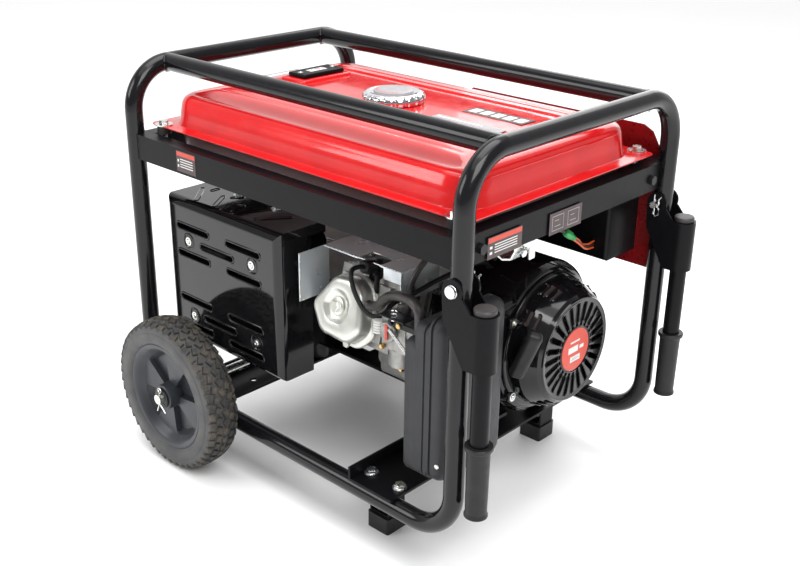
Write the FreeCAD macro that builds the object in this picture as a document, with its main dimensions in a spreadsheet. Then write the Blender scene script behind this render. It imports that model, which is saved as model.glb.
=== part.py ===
"""Portable petrol generator: an open frame of bent tube with two wheels and two folding lift handles.

Millimetres, +Z up.  +X is the recoil-starter and handle end, -X the wheel end, -Y the side with the
cylinder head, air cleaner and muffler guard, +Y the control panel side.  The origin is on the ground,
under the middle of the whole object's box.
"""
import FreeCAD, Part
import math
import os
import re

Vec = FreeCAD.Vector
doc = FreeCAD.newDocument("portable_generator")

# ---------------------------------------------------------------- driving dimensions
DIMENSIONS = {
    # bent tube frame
    "tube_radius": 14, "tube_wall": 1.8, "post_spread_x": 336.7, "post_spread_y": 233.4,
    "top_bar_height": 614.1, "low_rail_height": 83.9, "bend_radius": 68, "top_rail_spread": 165.8,
    # flat rails that carry the tank
    "rail_top": 512, "rail_depth": 40, "rail_lip": 24, "sheet": 2.5,
    # cross members, feet and cradle
    "plate_height": 98.2, "plate_sheet": 4, "foot_side": 42, "foot_rubber": 26, "cradle_height": 133,
    # wheels
    "axle_radius": 8, "axle_height": 125, "axle_place": -195, "wheel_radius": 125, "wheel_width": 56,
    "wheel_spread": 288, "rim_radius": 86, "hub_radius": 21,
    # tank
    "seam_height": 524, "seam_half_length": 327, "seam_half_width": 213, "tank_top": 580, "tank_floor": 482,
    "tank_sheet": 1.5, "cap_radius": 48, "neck_radius": 29,
    # engine and alternator, all on one crank axis
    "crank_y": 60, "crank_height": 256, "cylinder_place": 82, "cylinder_tilt": 16, "shroud_radius": 120,
    "recoil_radius": 84, "recoil_root": 97, "recoil_front": 316, "alternator_radius": 95,
    "shaft_radius": 15, "pulley_radius": 61,
    # muffler and its guard
    "guard_left": -304, "guard_right": -30, "guard_near": -210, "guard_depth": 95, "guard_low": 171,
    "guard_top": 413,
    # air cleaner
    "filter_left": 229, "filter_right": 300, "filter_near": -218, "filter_far": -84, "filter_low": 138,
    "filter_top": 370,
    # control side
    "panel_left": -62, "panel_right": 317, "panel_low": 333, "panel_top": 556, "panel_place": 243,
    "box_left": -50, "box_right": 290, "box_near": 163, "box_low": 358, "box_top": 466,
    # lift handles
    "handle_place": 375, "handle_pivot": 450, "handle_tube": 12.5, "grip_radius": 16, "collar_radius": 19,
    "socket_low": 352, "socket_top": 428, "plug_top": 435.5, "grip_low": 140, "grip_top": 246,
}

sheet = doc.addObject("Spreadsheet::Sheet", "dims")
for row, (alias, value) in enumerate(DIMENSIONS.items(), start=1):
    sheet.set(f"A{row}", alias)
    sheet.set(f"B{row}", str(value))
    sheet.setAlias(f"B{row}", alias)
doc.recompute()


def dim(alias):
    """The number in the sheet's cell of that name."""
    return float(sheet.get(alias))


# names that many parts share
TUBE = dim("tube_radius")
POST_X = dim("post_spread_x")
POST_Y = dim("post_spread_y")
CRANK = Vec(0, dim("crank_y"), dim("crank_height"))
HANDLE_REACH = dim("handle_place") + dim("collar_radius")
ORIGIN_SHIFT = (POST_X + TUBE - HANDLE_REACH) / 2
sub_parts = []


# ---------------------------------------------------------------- building blocks
def formula(text):
    """'tube_radius * 2' written as an expression on the sheet's cells."""
    return re.sub(r"[a-z_]+", lambda word: "dims." + word.group(), text)


def set_size(obj, prop, value):
    """Give a property a plain number, or bind it to the sheet when the value is a formula."""
    if isinstance(value, str):
        obj.setExpression(prop, formula(value))
    else:
        setattr(obj, prop, value)


def set_place(obj, at, turn=None):
    """Put an object's origin at a point whose coordinates are numbers or formulas."""
    numbers = [0.0 if isinstance(value, str) else value for value in at]
    obj.Placement = FreeCAD.Placement(Vec(*numbers), turn or FreeCAD.Rotation())
    for letter, value in zip("xyz", at):
        if isinstance(value, str):
            obj.setExpression(f"Placement.Base.{letter}", formula(value))


def block(length, width, height, at):
    """A box from its low corner."""
    obj = doc.addObject("Part::Box", "block")
    set_size(obj, "Length", length)
    set_size(obj, "Width", width)
    set_size(obj, "Height", height)
    set_place(obj, at)
    return obj


TURNS = {
    "Z": FreeCAD.Rotation(),
    "X": FreeCAD.Rotation(Vec(0, 1, 0), 90),
    "Y": FreeCAD.Rotation(Vec(1, 0, 0), -90),
}


def rod(radius, length, at, along="Z"):
    """A round bar that starts at a point and runs towards +X, +Y or +Z."""
    obj = doc.addObject("Part::Cylinder", "rod")
    set_size(obj, "Radius", radius)
    set_size(obj, "Height", length)
    set_place(obj, at, TURNS[along])
    return obj


def fuse(*pieces):
    obj = doc.addObject("Part::MultiFuse", "fuse")
    obj.Shapes = list(pieces)
    return obj


def group(*pieces):
    """Separate solids kept in one node."""
    obj = doc.addObject("Part::Compound", "group")
    obj.Links = list(pieces)
    return obj


def cut(base, *tools):
    obj = doc.addObject("Part::Cut", "cut")
    obj.Base = base
    obj.Tool = tools[0] if len(tools) == 1 else fuse(*tools)
    return obj


def rounded(obj, radius, pick):
    """Fillet the edges that pick(edge) accepts."""
    doc.recompute()
    edges = [number for number, edge in enumerate(obj.Shape.Edges, start=1) if pick(edge)]
    fillet = doc.addObject("Part::Fillet", "rounded")
    fillet.Base = obj
    fillet.Edges = [(number, radius, radius) for number in edges]
    return fillet


def runs_along(axis):
    """Picks the straight edges that are parallel to an axis."""
    def pick(edge):
        if edge.Curve.TypeId != "Part::GeomLine":
            return False
        return abs(abs(edge.Curve.Direction.dot(axis)) - 1) < 1e-6
    return pick


def feature(shape):
    """A sub-part made with Part's own functions."""
    obj = doc.addObject("Part::Feature", "feature")
    obj.Shape = shape
    return obj


def finish(obj, label, at=(0, 0, 0), turn=None):
    """Name a sub-part and put it in the object's own frame."""
    obj.Label = label
    place = FreeCAD.Placement(Vec(at[0] + ORIGIN_SHIFT, at[1], at[2]), turn or FreeCAD.Rotation())
    obj.Placement = place.multiply(obj.Placement)
    sub_parts.append(obj)
    return obj


def rounded_path(points, radii):
    """A wire of straight runs joined by tangent arcs, one radius for each inner point."""
    corners = [Vec(*point) for point in points]
    edges = []
    start = corners[0]
    for before, corner, after, radius in zip(corners, corners[1:], corners[2:], radii):
        inward = (before - corner).normalize()
        outward = (after - corner).normalize()
        half_turn = (math.pi - inward.getAngle(outward)) / 2
        trim = radius * math.tan(half_turn)
        first = corner + inward * trim
        last = corner + outward * trim
        middle_way = (inward + outward).normalize()
        middle = corner + middle_way * (radius / math.cos(half_turn) - radius)
        if (first - start).Length > 1e-6:
            edges.append(Part.LineSegment(start, first).toShape())
        edges.append(Part.Arc(first, middle, last).toShape())
        start = last
    edges.append(Part.LineSegment(start, corners[-1]).toShape())
    return Part.Wire(edges)


def swept(path, radius):
    """A round bar along a wire."""
    start = path.Edges[0]
    towards = start.tangentAt(start.FirstParameter)
    ring = Part.Wire([Part.makeCircle(radius, start.valueAt(start.FirstParameter), towards)])
    return path.makePipeShell([ring], True, False)


def cord_radii(points):
    """For each inner point the largest arc: 0.45 of the shorter run over the tangent of half the turn."""
    corners = [Vec(*point) for point in points]
    radii = []
    for before, corner, after in zip(corners, corners[1:], corners[2:]):
        shorter = min((before - corner).Length, (after - corner).Length)
        half_turn = (math.pi - (before - corner).getAngle(after - corner)) / 2
        radii.append(0.45 * shorter / math.tan(half_turn))
    return radii


def hose(label, points, outer, inner=0):
    """A tube along a route of straight runs with the largest bends that fit."""
    radii = cord_radii(points)
    path = rounded_path(points, radii)
    shape = swept(path, outer)
    if inner:
        shape = shape.cut(swept(path, inner))
    print(f"{label}: length {path.Length:.0f}, radii {[round(radius) for radius in radii]}")
    return feature(shape)


def plane_of(body, role):
    return next(plane for plane in body.Origin.OriginFeatures if plane.Role == role)


def sketch_on(body, role, points, offset=0):
    """A closed outline on one of a body's own planes.  A point of four numbers ends an arc: end, middle."""
    sketch = body.newObject("Sketcher::SketchObject", "outline")
    sketch.AttachmentSupport = [(plane_of(body, role), "")]
    sketch.MapMode = "FlatFace"
    sketch.AttachmentOffset = FreeCAD.Placement(Vec(0, 0, offset), FreeCAD.Rotation())
    start = Vec(points[0][0], points[0][1], 0)
    for point in list(points[1:]) + [points[0][:2]]:
        end = Vec(point[0], point[1], 0)
        if len(point) == 4:
            sketch.addGeometry(Part.Arc(start, Vec(point[2], point[3], 0), end), False)
        else:
            sketch.addGeometry(Part.LineSegment(start, end), False)
        start = end
    return sketch


def turned(name, role, points, about="H_Axis"):
    """A body made by turning an outline a full turn about an axis of its sketch."""
    body = doc.addObject("PartDesign::Body", name)
    sketch = sketch_on(body, role, points)
    turn = body.newObject("PartDesign::Revolution", "turn")
    turn.Profile = sketch
    turn.ReferenceAxis = (sketch, [about])
    turn.Angle = 360
    return body


def padded(name, role, points, length, offset=0, reverse=False):
    """A body made by padding an outline."""
    body = doc.addObject("PartDesign::Body", name)
    sketch = sketch_on(body, role, points, offset)
    pad = body.newObject("PartDesign::Pad", "pad")
    pad.Profile = sketch
    set_size(pad, "Length", length)
    pad.Reversed = reverse
    return body


def pocket(body, role, points, length, offset=0, reverse=False):
    """A pocket in a body, which has to take material away."""
    doc.recompute()
    before = body.Shape.Volume
    sketch = sketch_on(body, role, points, offset)
    hole = body.newObject("PartDesign::Pocket", "pocket")
    hole.Profile = sketch
    hole.Length = length
    hole.Reversed = reverse
    doc.recompute()
    if body.Shape.Volume > before - 1e-3:
        raise ValueError(f"{body.Label}: the pocket cuts nothing")
    return hole


def around(body, cutter, count, sketch_axis):
    """Repeat a cutting feature evenly round an axis."""
    pattern = body.newObject("PartDesign::PolarPattern", "pattern")
    pattern.Originals = [cutter]
    pattern.Axis = (cutter.Profile[0], [sketch_axis])
    pattern.Angle = 360
    pattern.Occurrences = count
    body.Tip = pattern
    return pattern


def rectangle(x_low, x_high, y_low, y_high):
    return [(x_low, y_low), (x_high, y_low), (x_high, y_high), (x_low, y_high)]


def rounded_rectangle(half_x, half_y, radius, height):
    """A wire in a level plane."""
    flat = half_x - radius
    side = half_y - radius
    bulge = radius * math.sqrt(0.5)
    edges = []
    for turn_x, turn_y, first_is_x in ((1, 1, True), (-1, 1, False), (-1, -1, True), (1, -1, False)):
        on_x = Vec(turn_x * half_x, turn_y * side, height)
        on_y = Vec(turn_x * flat, turn_y * half_y, height)
        middle = Vec(turn_x * (flat + bulge), turn_y * (side + bulge), height)
        first, last = (on_x, on_y) if first_is_x else (on_y, on_x)
        edges.append(Part.Arc(first, middle, last).toShape())
    ring = []
    for edge, following in zip(edges, edges[1:] + edges[:1]):
        ring.append(edge)
        side_start = edge.lastVertex(True).Point
        side_end = following.firstVertex(True).Point
        ring.append(Part.LineSegment(side_start, side_end).toShape())
    return Part.Wire(ring)


# ---------------------------------------------------------------- tube frame
def hoop_path(end):
    """The line of one end hoop: out of the near low rail, up, across the top, down to the far low rail."""
    bend = dim("bend_radius")
    x = end * POST_X
    low = dim("low_rail_height")
    top = dim("top_bar_height")
    foot_x = x - end * bend
    points = [(foot_x - end * 0.5, -POST_Y, low), (x, -POST_Y, low), (x, -POST_Y, top),
              (x, POST_Y, top), (x, POST_Y, low), (foot_x - end * 0.5, POST_Y, low)]
    return rounded_path(points, [bend] * 4)


def tube(path):
    return swept(path, TUBE).cut(swept(path, TUBE - dim("tube_wall")))


def straight_tube(start, end):
    path = Part.Wire([Part.LineSegment(Vec(*start), Vec(*end)).toShape()])
    return tube(path)


hoop_solids = {}
for end, name in ((-1, "hoop_wheel_end"), (1, "hoop_handle_end")):
    path = hoop_path(end)
    hoop_solids[end] = swept(path, TUBE)
    shape = tube(path)
    if end == 1:
        for side in (-1, 1):
            start = Vec(POST_X, side * POST_Y - 30, dim("handle_pivot"))
            shape = shape.cut(Part.makeCylinder(5.2, 60, start, Vec(0, 1, 0)))
    finish(feature(shape), name)

both_hoops = hoop_solids[-1].fuse(hoop_solids[1])
rail_end = POST_X - dim("bend_radius") - 0.5
low_rails = [straight_tube((-rail_end, side * POST_Y, dim("low_rail_height")),
                           (rail_end, side * POST_Y, dim("low_rail_height"))) for side in (-1, 1)]
top_rails = [straight_tube((-POST_X, side * dim("top_rail_spread"), dim("top_bar_height")),
                           (POST_X, side * dim("top_rail_spread"), dim("top_bar_height"))).cut(both_hoops)
             for side in (-1, 1)]
top_rails = [max(rail.Solids, key=lambda solid: solid.Volume) for rail in top_rails]
finish(feature(Part.makeCompound(low_rails + top_rails)), "long_rails")


def tank_rails():
    """Two channels along X with their lips turned inwards, and two angles across the ends."""
    thick = dim("sheet")
    top = dim("rail_top")
    depth = dim("rail_depth")
    lip = dim("rail_lip")
    face = POST_Y + 7
    long_rails = []
    for side in (-1, 1):
        low_y = min(side * face, side * (face - thick))
        web = Part.makeBox(2 * POST_X, thick, depth, Vec(-POST_X, low_y, top - depth))
        inner_y = min(side * face, side * (face - lip))
        lips = [Part.makeBox(2 * POST_X, lip, thick, Vec(-POST_X, inner_y, height))
                for height in (top - thick, top - depth)]
        rail = web.fuse(lips).removeSplitter().cut(both_hoops)
        bush_hole_y = side * (seam_bolt[1])
        for end in (-1, 1):
            rail = rail.cut(Part.makeCylinder(4.5, 20, Vec(end * seam_bolt[0], bush_hole_y, top - 10)))
        long_rails.append(max(rail.Solids, key=lambda solid: solid.Volume))
    end_rails = []
    inside = face - lip - 0.5
    for end in (-1, 1):
        outer = end * (POST_X - TUBE + 12)
        web_start = Vec(min(outer, outer - end * thick), -inside, top - depth)
        lip_start = Vec(min(outer, outer - end * lip), -inside, top - thick)
        web = Part.makeBox(thick, 2 * inside, depth, web_start)
        rail = web.fuse(Part.makeBox(lip, 2 * inside, thick, lip_start)).removeSplitter().cut(both_hoops)
        for side in (-1, 1):
            hole = Part.makeCylinder(4.3, 20, Vec(outer - 10, side * rail_bolt_y, top - 22), Vec(1, 0, 0))
            rail = rail.cut(hole)
        end_rails.append(max(rail.Solids, key=lambda solid: solid.Volume))
    return long_rails, end_rails


seam_bolt = (300, 205)
rail_bolt_y = 196
long_rails, end_rails = tank_rails()
finish(feature(Part.makeCompound(long_rails + end_rails)), "tank_rails")


def hex_bolt(shank, length, head, head_height, at, along):
    """A hexagon-head bolt whose head stands on a point, with its shank running along a direction."""
    corners = [Vec(head * math.cos(math.radians(60 * turn)), head * math.sin(math.radians(60 * turn)), 0)
               for turn in range(7)]
    bolt = Part.Face(Part.makePolygon(corners)).extrude(Vec(0, 0, -head_height))
    bolt = bolt.fuse(Part.makeCylinder(shank, length)).removeSplitter()
    bolt.Placement = FreeCAD.Placement(Vec(*at), FreeCAD.Rotation(Vec(0, 0, 1), Vec(*along)))
    return bolt


frame_bolts = []
for end in (-1, 1):
    face_x = end * (POST_X - TUBE + 12)
    for side in (-1, 1):
        place = (face_x + end * 0.02, side * rail_bolt_y, dim("rail_top") - 22)
        frame_bolts.append(hex_bolt(4, 14, 7.5, 5, place, (-end, 0, 0)))

# ---------------------------------------------------------------- cross members, cradle, feet and axle
PLATE = dim("plate_height")
plate_sheet = dim("plate_sheet")


def cross_member(low_x, high_x):
    """A plate across both low rails with its inner edge turned up."""
    plate = block(high_x - low_x, "post_spread_y * 2 + 28", "plate_sheet",
                  (low_x, "-post_spread_y - 14", "plate_height"))
    flange = block("plate_sheet", "post_spread_y * 2 + 28", 22,
                   (low_x, "-post_spread_y - 14", "plate_height"))
    return [plate, flange]


mount_spread = 66
mount_radius = 17
wheel_mount_x = -166
handle_mount_x = 205
wheel_plate = cross_member(-228, -148)
axle_ears = []
for side in (-1, 1):
    ear = block(44, 5, 44, (dim("axle_place") - 22, side * 222 - 2.5, "plate_height"))
    axle_ears.append(ear)
axle_bore = rod("axle_radius + 0.05", 520, ("axle_place", -260, "axle_height"), "Y")
line_holes = [rod(5.5, 30, (-174, y, 90)) for y in (-206, -150, 150, 206)]
stud_holes = [rod(5, 30, (wheel_mount_x, CRANK.y + side * mount_spread, 90)) for side in (-1, 1)]
wheel_member = cut(fuse(*wheel_plate, *axle_ears), axle_bore, *line_holes, *stud_holes)

# the plate at the handle end stands on two channels, open towards the sides, with a rubber foot under each
handle_plate = cross_member(152, 236)
foot_x = 171
foot_y = 185
leg_low = dim("foot_rubber") + 0.2
leg_height = PLATE - leg_low + 1
legs = []
for side in (-1, 1):
    channel = block(38, 34, leg_height, (foot_x - 19, side * foot_y - 17, leg_low))
    legs.append(cut(channel, block(32, 40, leg_height, (foot_x - 16, side * foot_y - 20, leg_low + 4))))
plate_bolts = [(x, side * 214) for side in (-1, 1) for x in (166, 222)]
stud_holes = [rod(5, 30, (handle_mount_x, CRANK.y + side * mount_spread, 90)) for side in (-1, 1)]
plate_bolt_holes = [rod(4.4, 30, (x, y, 90)) for x, y in plate_bolts]
foot_bolt_holes = [rod(4.3, 30, (foot_x, side * foot_y, 20)) for side in (-1, 1)]
handle_member = cut(fuse(*handle_plate, *legs), *stud_holes, *plate_bolt_holes, *foot_bolt_holes)
finish(group(wheel_member, handle_member), "cross_members")

plate_top = PLATE + plate_sheet + 0.02
frame_bolts += [hex_bolt(4, 8, 8, 6.5, (x, y, plate_top), (0, 0, -1)) for x, y in plate_bolts]
for side in (-1, 1):
    frame_bolts.append(hex_bolt(4, 14, 7, 6, (foot_x, side * foot_y, leg_low + 4.02), (0, 0, -1)))
finish(feature(Part.makeCompound(frame_bolts)), "frame_bolts")

feet = []
for side in (-1, 1):
    foot = block("foot_side", "foot_side", "foot_rubber", (foot_x - 21, side * foot_y - 21, 0))
    foot = rounded(foot, 4, runs_along(Vec(0, 0, 1)))
    feet.append(cut(foot, rod(4.1, 20, (foot_x, side * foot_y, leg_low - 14))))
finish(group(*feet), "rubber_feet")

CRADLE = dim("cradle_height")
cushions = []
for x in (wheel_mount_x, handle_mount_x):
    for side in (-1, 1):
        y = CRANK.y + side * mount_spread
        base = PLATE + plate_sheet
        cushion = Part.makeCylinder(mount_radius, CRADLE - base, Vec(x, y, base))
        stud = Part.makeCylinder(4.8, CRADLE - base + 22, Vec(x, y, base - 11))
        cushions.append(cushion.fuse(stud).removeSplitter())

cradle_beams = [block(440, 34, 5, (-205, CRANK.y + side * mount_spread - 17, "cradle_height"))
                for side in (-1, 1)]
cradle_ties = [block(40, 2 * mount_spread, 5, (x, CRANK.y - mount_spread, "cradle_height"))
               for x in (-200, -60, 20, 108)]
stud_holes = [rod(5, 30, (x, CRANK.y + side * mount_spread, CRADLE - 10))
              for x in (wheel_mount_x, handle_mount_x) for side in (-1, 1)]
saddle = block(60, 100, 40, (-172, CRANK.y - 50, CRADLE + 5))
saddle_cut = rod("alternator_radius + 0.1", 100, (-200, "crank_y", "crank_height"), "X")
finish(cut(fuse(*cradle_beams, *cradle_ties, saddle), saddle_cut, *stud_holes), "engine_cradle")

axle_end = 327
axle = rod("axle_radius", 2 * axle_end, ("axle_place", -axle_end, "axle_height"), "Y")
pin_holes = [rod(1.8, 40, ("axle_place", side * 322, "axle_height - 20")) for side in (-1, 1)]
finish(cut(axle, *pin_holes), "axle")


def axle_fittings():
    """At each end: a spacer inside the wheel, a washer outside it and a split pin."""
    pieces = []
    x = dim("axle_place")
    z = dim("axle_height")
    for side in (-1, 1):
        for y_start, length, radius in ((225.2, 32.3, 14), (317.2, 2.4, 16)):
            start = Vec(x, side * y_start, z)
            ring = Part.makeCylinder(radius, length, start, Vec(0, side, 0))
            bore = Part.makeCylinder(dim("axle_radius") + 0.05, length, start, Vec(0, side, 0))
            pieces.append(ring.cut(bore))
        leg = Part.makeCylinder(1.6, 30, Vec(x, side * 322, z - 15))
        eye = Part.makeTorus(3.4, 1.4, Vec(x, side * 322, z + 18), Vec(0, 1, 0))
        pieces.append(leg.fuse(eye).removeSplitter())
    return Part.makeCompound(pieces)


finish(feature(axle_fittings()), "axle_fittings")


# ---------------------------------------------------------------- wheels
def rim_sector(first, inner, outer):
    """A wedge of 41 degrees between two radii, one of the eight folds of the web."""
    corners = []
    for radius, angle in ((inner, first), (outer, first), (outer, first + 41), (inner, first + 41)):
        turn = math.radians(angle)
        corners.append((radius * math.cos(turn), radius * math.sin(turn)))
    return corners


def wheel(side, name):
    """A moulded rim with a folded web and a solid tyre with a round tread edge."""
    rim = dim("rim_radius")
    bore = dim("axle_radius") + 0.06
    hub = dim("hub_radius")
    half = dim("wheel_width") / 2
    web = [(-29, bore), (29, bore), (29, hub), (8, hub + 4), (8, 68), (20, 76), (24, rim), (-24, rim),
           (-20, 76), (-8, 68), (-8, hub + 4), (-29, hub)]
    rim_body = turned("rim", "YZ_Plane", web)
    for face, first in ((1, 0), (-1, 45)):
        fold = rim_sector(first, hub + 6, 66)
        hollow = pocket(rim_body, "XZ_Plane", fold, 11, offset=face * 9, reverse=face < 0)
        around(rim_body, hollow, 4, "N_Axis")
    place = (dim("axle_place"), side * dim("wheel_spread"), dim("axle_height"))
    finish(rim_body, "wheel_rim_" + name, place)
    outer = dim("wheel_radius")
    groove = [(-24, rim), (24, rim), (half, 92), (half, 108), (18, outer - 4, half - 3, 119),
              (-18, outer - 4, 0, outer), (-half, 108, 3 - half, 119), (-half, 92)]
    tyre_body = turned("tyre", "YZ_Plane", groove)
    finish(tyre_body, "tyre_" + name, place)


wheel(-1, "near")
wheel(1, "far")


# ---------------------------------------------------------------- fuel tank
def loft(wires):
    return Part.makeLoft(wires, True, False)


def tank_outer(inset):
    """The upper half of the tank's outer form, or its hollow when inset."""
    top = dim("tank_top") - inset
    seam = dim("seam_height")
    sections = [(306, 193, 46, seam), (301, 191, 45, seam + 30), (294, 187, 43, top - 14),
                (284, 178, 38, top - 4), (268, 163, 32, top)]
    wires = [rounded_rectangle(half_x - inset, half_y - inset, radius, height)
             for half_x, half_y, radius, height in sections]
    return loft(wires)


gauge_x = -203
gauge_y = 31


def tank_upper():
    """The upper pressing: flange, domed top, filler neck and the raised seat of the gauge."""
    thick = dim("tank_sheet")
    seam = dim("seam_height")
    flange = Part.Face(rounded_rectangle(dim("seam_half_length"), dim("seam_half_width"), 12, seam))
    shell = flange.extrude(Vec(0, 0, thick)).fuse(tank_outer(0))
    neck_outer = dim("neck_radius") + 2
    shell = shell.fuse(Part.makeCylinder(neck_outer, 22, Vec(0, 0, dim("tank_top") - 16)))
    boss = Part.makeBox(50, 100, 14, Vec(gauge_x - 25, gauge_y - 50, dim("tank_top") - 8))
    shell = shell.fuse(boss).cut(tank_outer(thick))
    shell = shell.cut(Part.makeCylinder(dim("neck_radius"), 40, Vec(0, 0, dim("tank_top") - 30)))
    shell = shell.cut(Part.makeCylinder(7, 60, Vec(gauge_x, gauge_y, dim("tank_top") - 40)))
    for end in (-1, 1):
        for side in (-1, 1):
            start = Vec(end * seam_bolt[0], side * seam_bolt[1], seam - 8)
            shell = shell.cut(Part.makeCylinder(4.5, 20, start))
    return shell.removeSplitter()


def tank_lower():
    """The lower pressing: a shallow bowl with a hole for the fuel tap."""
    thick = dim("tank_sheet")
    seam = dim("seam_height")
    flange = Part.Face(rounded_rectangle(310, 197, 46, seam)).extrude(Vec(0, 0, -thick))
    low = dim("tank_floor")
    sections = [(304, 191, 44, seam), (298, 186, 42, low + 12), (286, 172, 34, low)]

    def bowl(inset):
        wires = []
        for half_x, half_y, radius, height in sections:
            lift = inset if height < seam else 0
            wires.append(rounded_rectangle(half_x - inset, half_y - inset, radius, height + lift))
        return loft(wires)

    shell = flange.fuse(bowl(0)).cut(bowl(thick))
    shell = shell.cut(Part.makeCylinder(6.52, 30, Vec(262, -120, low - 10)))
    return shell.removeSplitter()


finish(feature(tank_upper()), "tank_upper_shell")
finish(feature(tank_lower()), "tank_lower_shell")


def tank_fixings():
    """The rubber bushes under the tank flange, and the zinc bolts with large washers through them."""
    bushes = []
    bolts = []
    rail = dim("rail_top")
    seam = dim("seam_height")
    flange_top = seam + dim("tank_sheet")
    for end in (-1, 1):
        for side in (-1, 1):
            x = end * seam_bolt[0]
            y = side * seam_bolt[1]
            bush = Part.makeCylinder(11, seam - rail - 0.04, Vec(x, y, rail + 0.02))
            bushes.append(bush.cut(Part.makeCylinder(4.2, 30, Vec(x, y, rail - 2))))
            washer = Part.makeCylinder(14, 1.8, Vec(x, y, flange_top + 0.02))
            bolt = hex_bolt(4, 26, 7.2, 5.5, (x, y, flange_top + 1.8), (0, 0, -1))
            bolts.append(bolt.fuse(washer).removeSplitter())
    return bushes, bolts


bushes, zinc_bolts = tank_fixings()
finish(feature(Part.makeCompound(bushes + cushions)), "rubber_mounts")

neck_top = dim("tank_top") + 6
cap_profile = [(0, neck_top - 14), (25, neck_top - 14), (25, neck_top + 0.4), (40, neck_top + 0.4),
               (40, neck_top - 4), (48, neck_top - 4), (48, neck_top + 7), (43, neck_top + 12),
               (0, neck_top + 14)]
finish(turned("cap", "XZ_Plane", cap_profile, "V_Axis"), "fuel_cap")

gauge_base = dim("tank_top") + 6
gauge_case = block(40, 88, 7, (gauge_x - 20, gauge_y - 44, gauge_base + 0.02))
gauge_case = rounded(gauge_case, 5, runs_along(Vec(0, 0, 1)))
gauge_stem = rod(5, 12, (gauge_x, gauge_y, gauge_base - 11))
finish(fuse(gauge_case, gauge_stem), "fuel_gauge")

# ---------------------------------------------------------------- crank train
crank_points = [(-258, 0), (-258, 12), (-20, 12), (-20, 15), (48, 15), (48, 42), (64, 42), (64, 16),
                (100, 16), (100, 42), (116, 42), (116, 15), (210, 15), (222, 10), (246, 10), (246, 0)]
crankshaft = turned("crank", "XZ_Plane", crank_points)
finish(crankshaft, "crankshaft", CRANK)


def flywheel():
    """A cast wheel with a ring of curved fan blades on its front."""
    disc = Part.makeCylinder(100, 14, Vec(180, 0, 0), Vec(1, 0, 0))
    boss = Part.makeCylinder(30, 34, Vec(176, 0, 0), Vec(1, 0, 0))
    rim = Part.makeCylinder(100, 26, Vec(172, 0, 0), Vec(1, 0, 0)).cut(
        Part.makeCylinder(84, 30, Vec(170, 0, 0), Vec(1, 0, 0)))
    wheel_shape = disc.fuse([boss, rim])
    for number in range(16):
        blade = Part.makeBox(28, 3, 42, Vec(193, -1.5, 52))
        blade.rotate(Vec(0, 0, 0), Vec(1, 0, 0), 360 * number / 16)
        wheel_shape = wheel_shape.fuse(blade)
    bore = Part.makeCylinder(15, 60, Vec(165, 0, 0), Vec(1, 0, 0))
    return wheel_shape.cut(bore).removeSplitter()


finish(feature(flywheel()), "flywheel", CRANK)

rotor = Part.makeCylinder(58, 150, Vec(-220, 0, 0), Vec(1, 0, 0))
for turn in (0, 90, 180, 270):
    slot = Part.makeBox(160, 14, 24, Vec(-225, -7, 40))
    slot.rotate(Vec(0, 0, 0), Vec(1, 0, 0), turn + 45)
    rotor = rotor.cut(slot)
fan = Part.makeCylinder(70, 5, Vec(-46, 0, 0), Vec(1, 0, 0))
fan_hub = Part.makeCylinder(20, 24, Vec(-70, 0, 0), Vec(1, 0, 0))
rotor = rotor.fuse([fan, fan_hub]).cut(Part.makeCylinder(12, 250, Vec(-240, 0, 0), Vec(1, 0, 0)))
finish(feature(rotor.removeSplitter()), "alternator_rotor", CRANK)

stator_ring = cut(rod("alternator_radius", 150, (-220, 0, 0), "X"), rod(60, 160, (-225, 0, 0), "X"))
finish(stator_ring, "alternator_stator", CRANK)

rear_bell = [(-264, 12.06), (-250, 12.06), (-250, 78), (-238, 90), (-220.02, 90), (-220.02, 95), (-240, 95),
             (-256, 84), (-264, 70)]
front_bell = [(-22, 12.06), (-22, 92), (-34, 95), (-69.98, 95), (-69.98, 90), (-36, 88), (-28, 80),
              (-28, 12.06)]
bells = group(turned("rear_bell", "XZ_Plane", rear_bell), turned("front_bell", "XZ_Plane", front_bell))
finish(bells, "alternator_end_bells", CRANK)

# ---------------------------------------------------------------- engine
SUMP = CRADLE + 5
crank_hole = rod("shaft_radius + 0.05", 400, (-60, "crank_y", "crank_height"), "X")
case_block = block(146, 190, 190, (12, -36, SUMP))
case_block = rounded(case_block, 16, runs_along(Vec(1, 0, 0)))
case_hollow = rounded(block(118, 160, 160, (26, -21, SUMP + 14)), 14, runs_along(Vec(1, 0, 0)))
TILT = FreeCAD.Rotation(Vec(1, 0, 0), -dim("cylinder_tilt"))
CYL = dim("cylinder_place")


def tilted(shape):
    """Engine parts drawn with the cylinder level along -Y, tipped up about the crank axis."""
    shape.Placement = FreeCAD.Placement(CRANK, TILT)
    return shape


def along_cylinder(radius, start, length):
    return Part.makeCylinder(radius, length, Vec(CYL, -start, 0), Vec(0, -1, 0))


barrel = along_cylinder(54, 60, 88)
for number in range(6):
    fin = Part.makeBox(124, 3, 112, Vec(CYL - 62, -(104 + 8 * number), -56))
    barrel = barrel.fuse(fin)
barrel = tilted(barrel.removeSplitter())
bore = tilted(along_cylinder(44.06, 10, 200))
crankcase = cut(fuse(case_block, feature(barrel)), case_hollow, feature(bore), crank_hole)
finish(crankcase, "crankcase")

cover_plate = rounded(block(12, 176, 176, (-0.02, -29, SUMP + 7)), 20, runs_along(Vec(1, 0, 0)))
finish(cut(cover_plate, crank_hole), "crankcase_cover")


def piston():
    """The piston with its three rings, held part way up the bore."""
    crown = along_cylinder(43.6, 84, 52).cut(along_cylinder(37, 83, 47))
    for number in range(3):
        start = 118 + 6 * number
        ring = along_cylinder(44.04, start, 2).cut(along_cylinder(40, start, 2))
        crown = crown.fuse(ring)
    return tilted(crown.removeSplitter())


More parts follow.
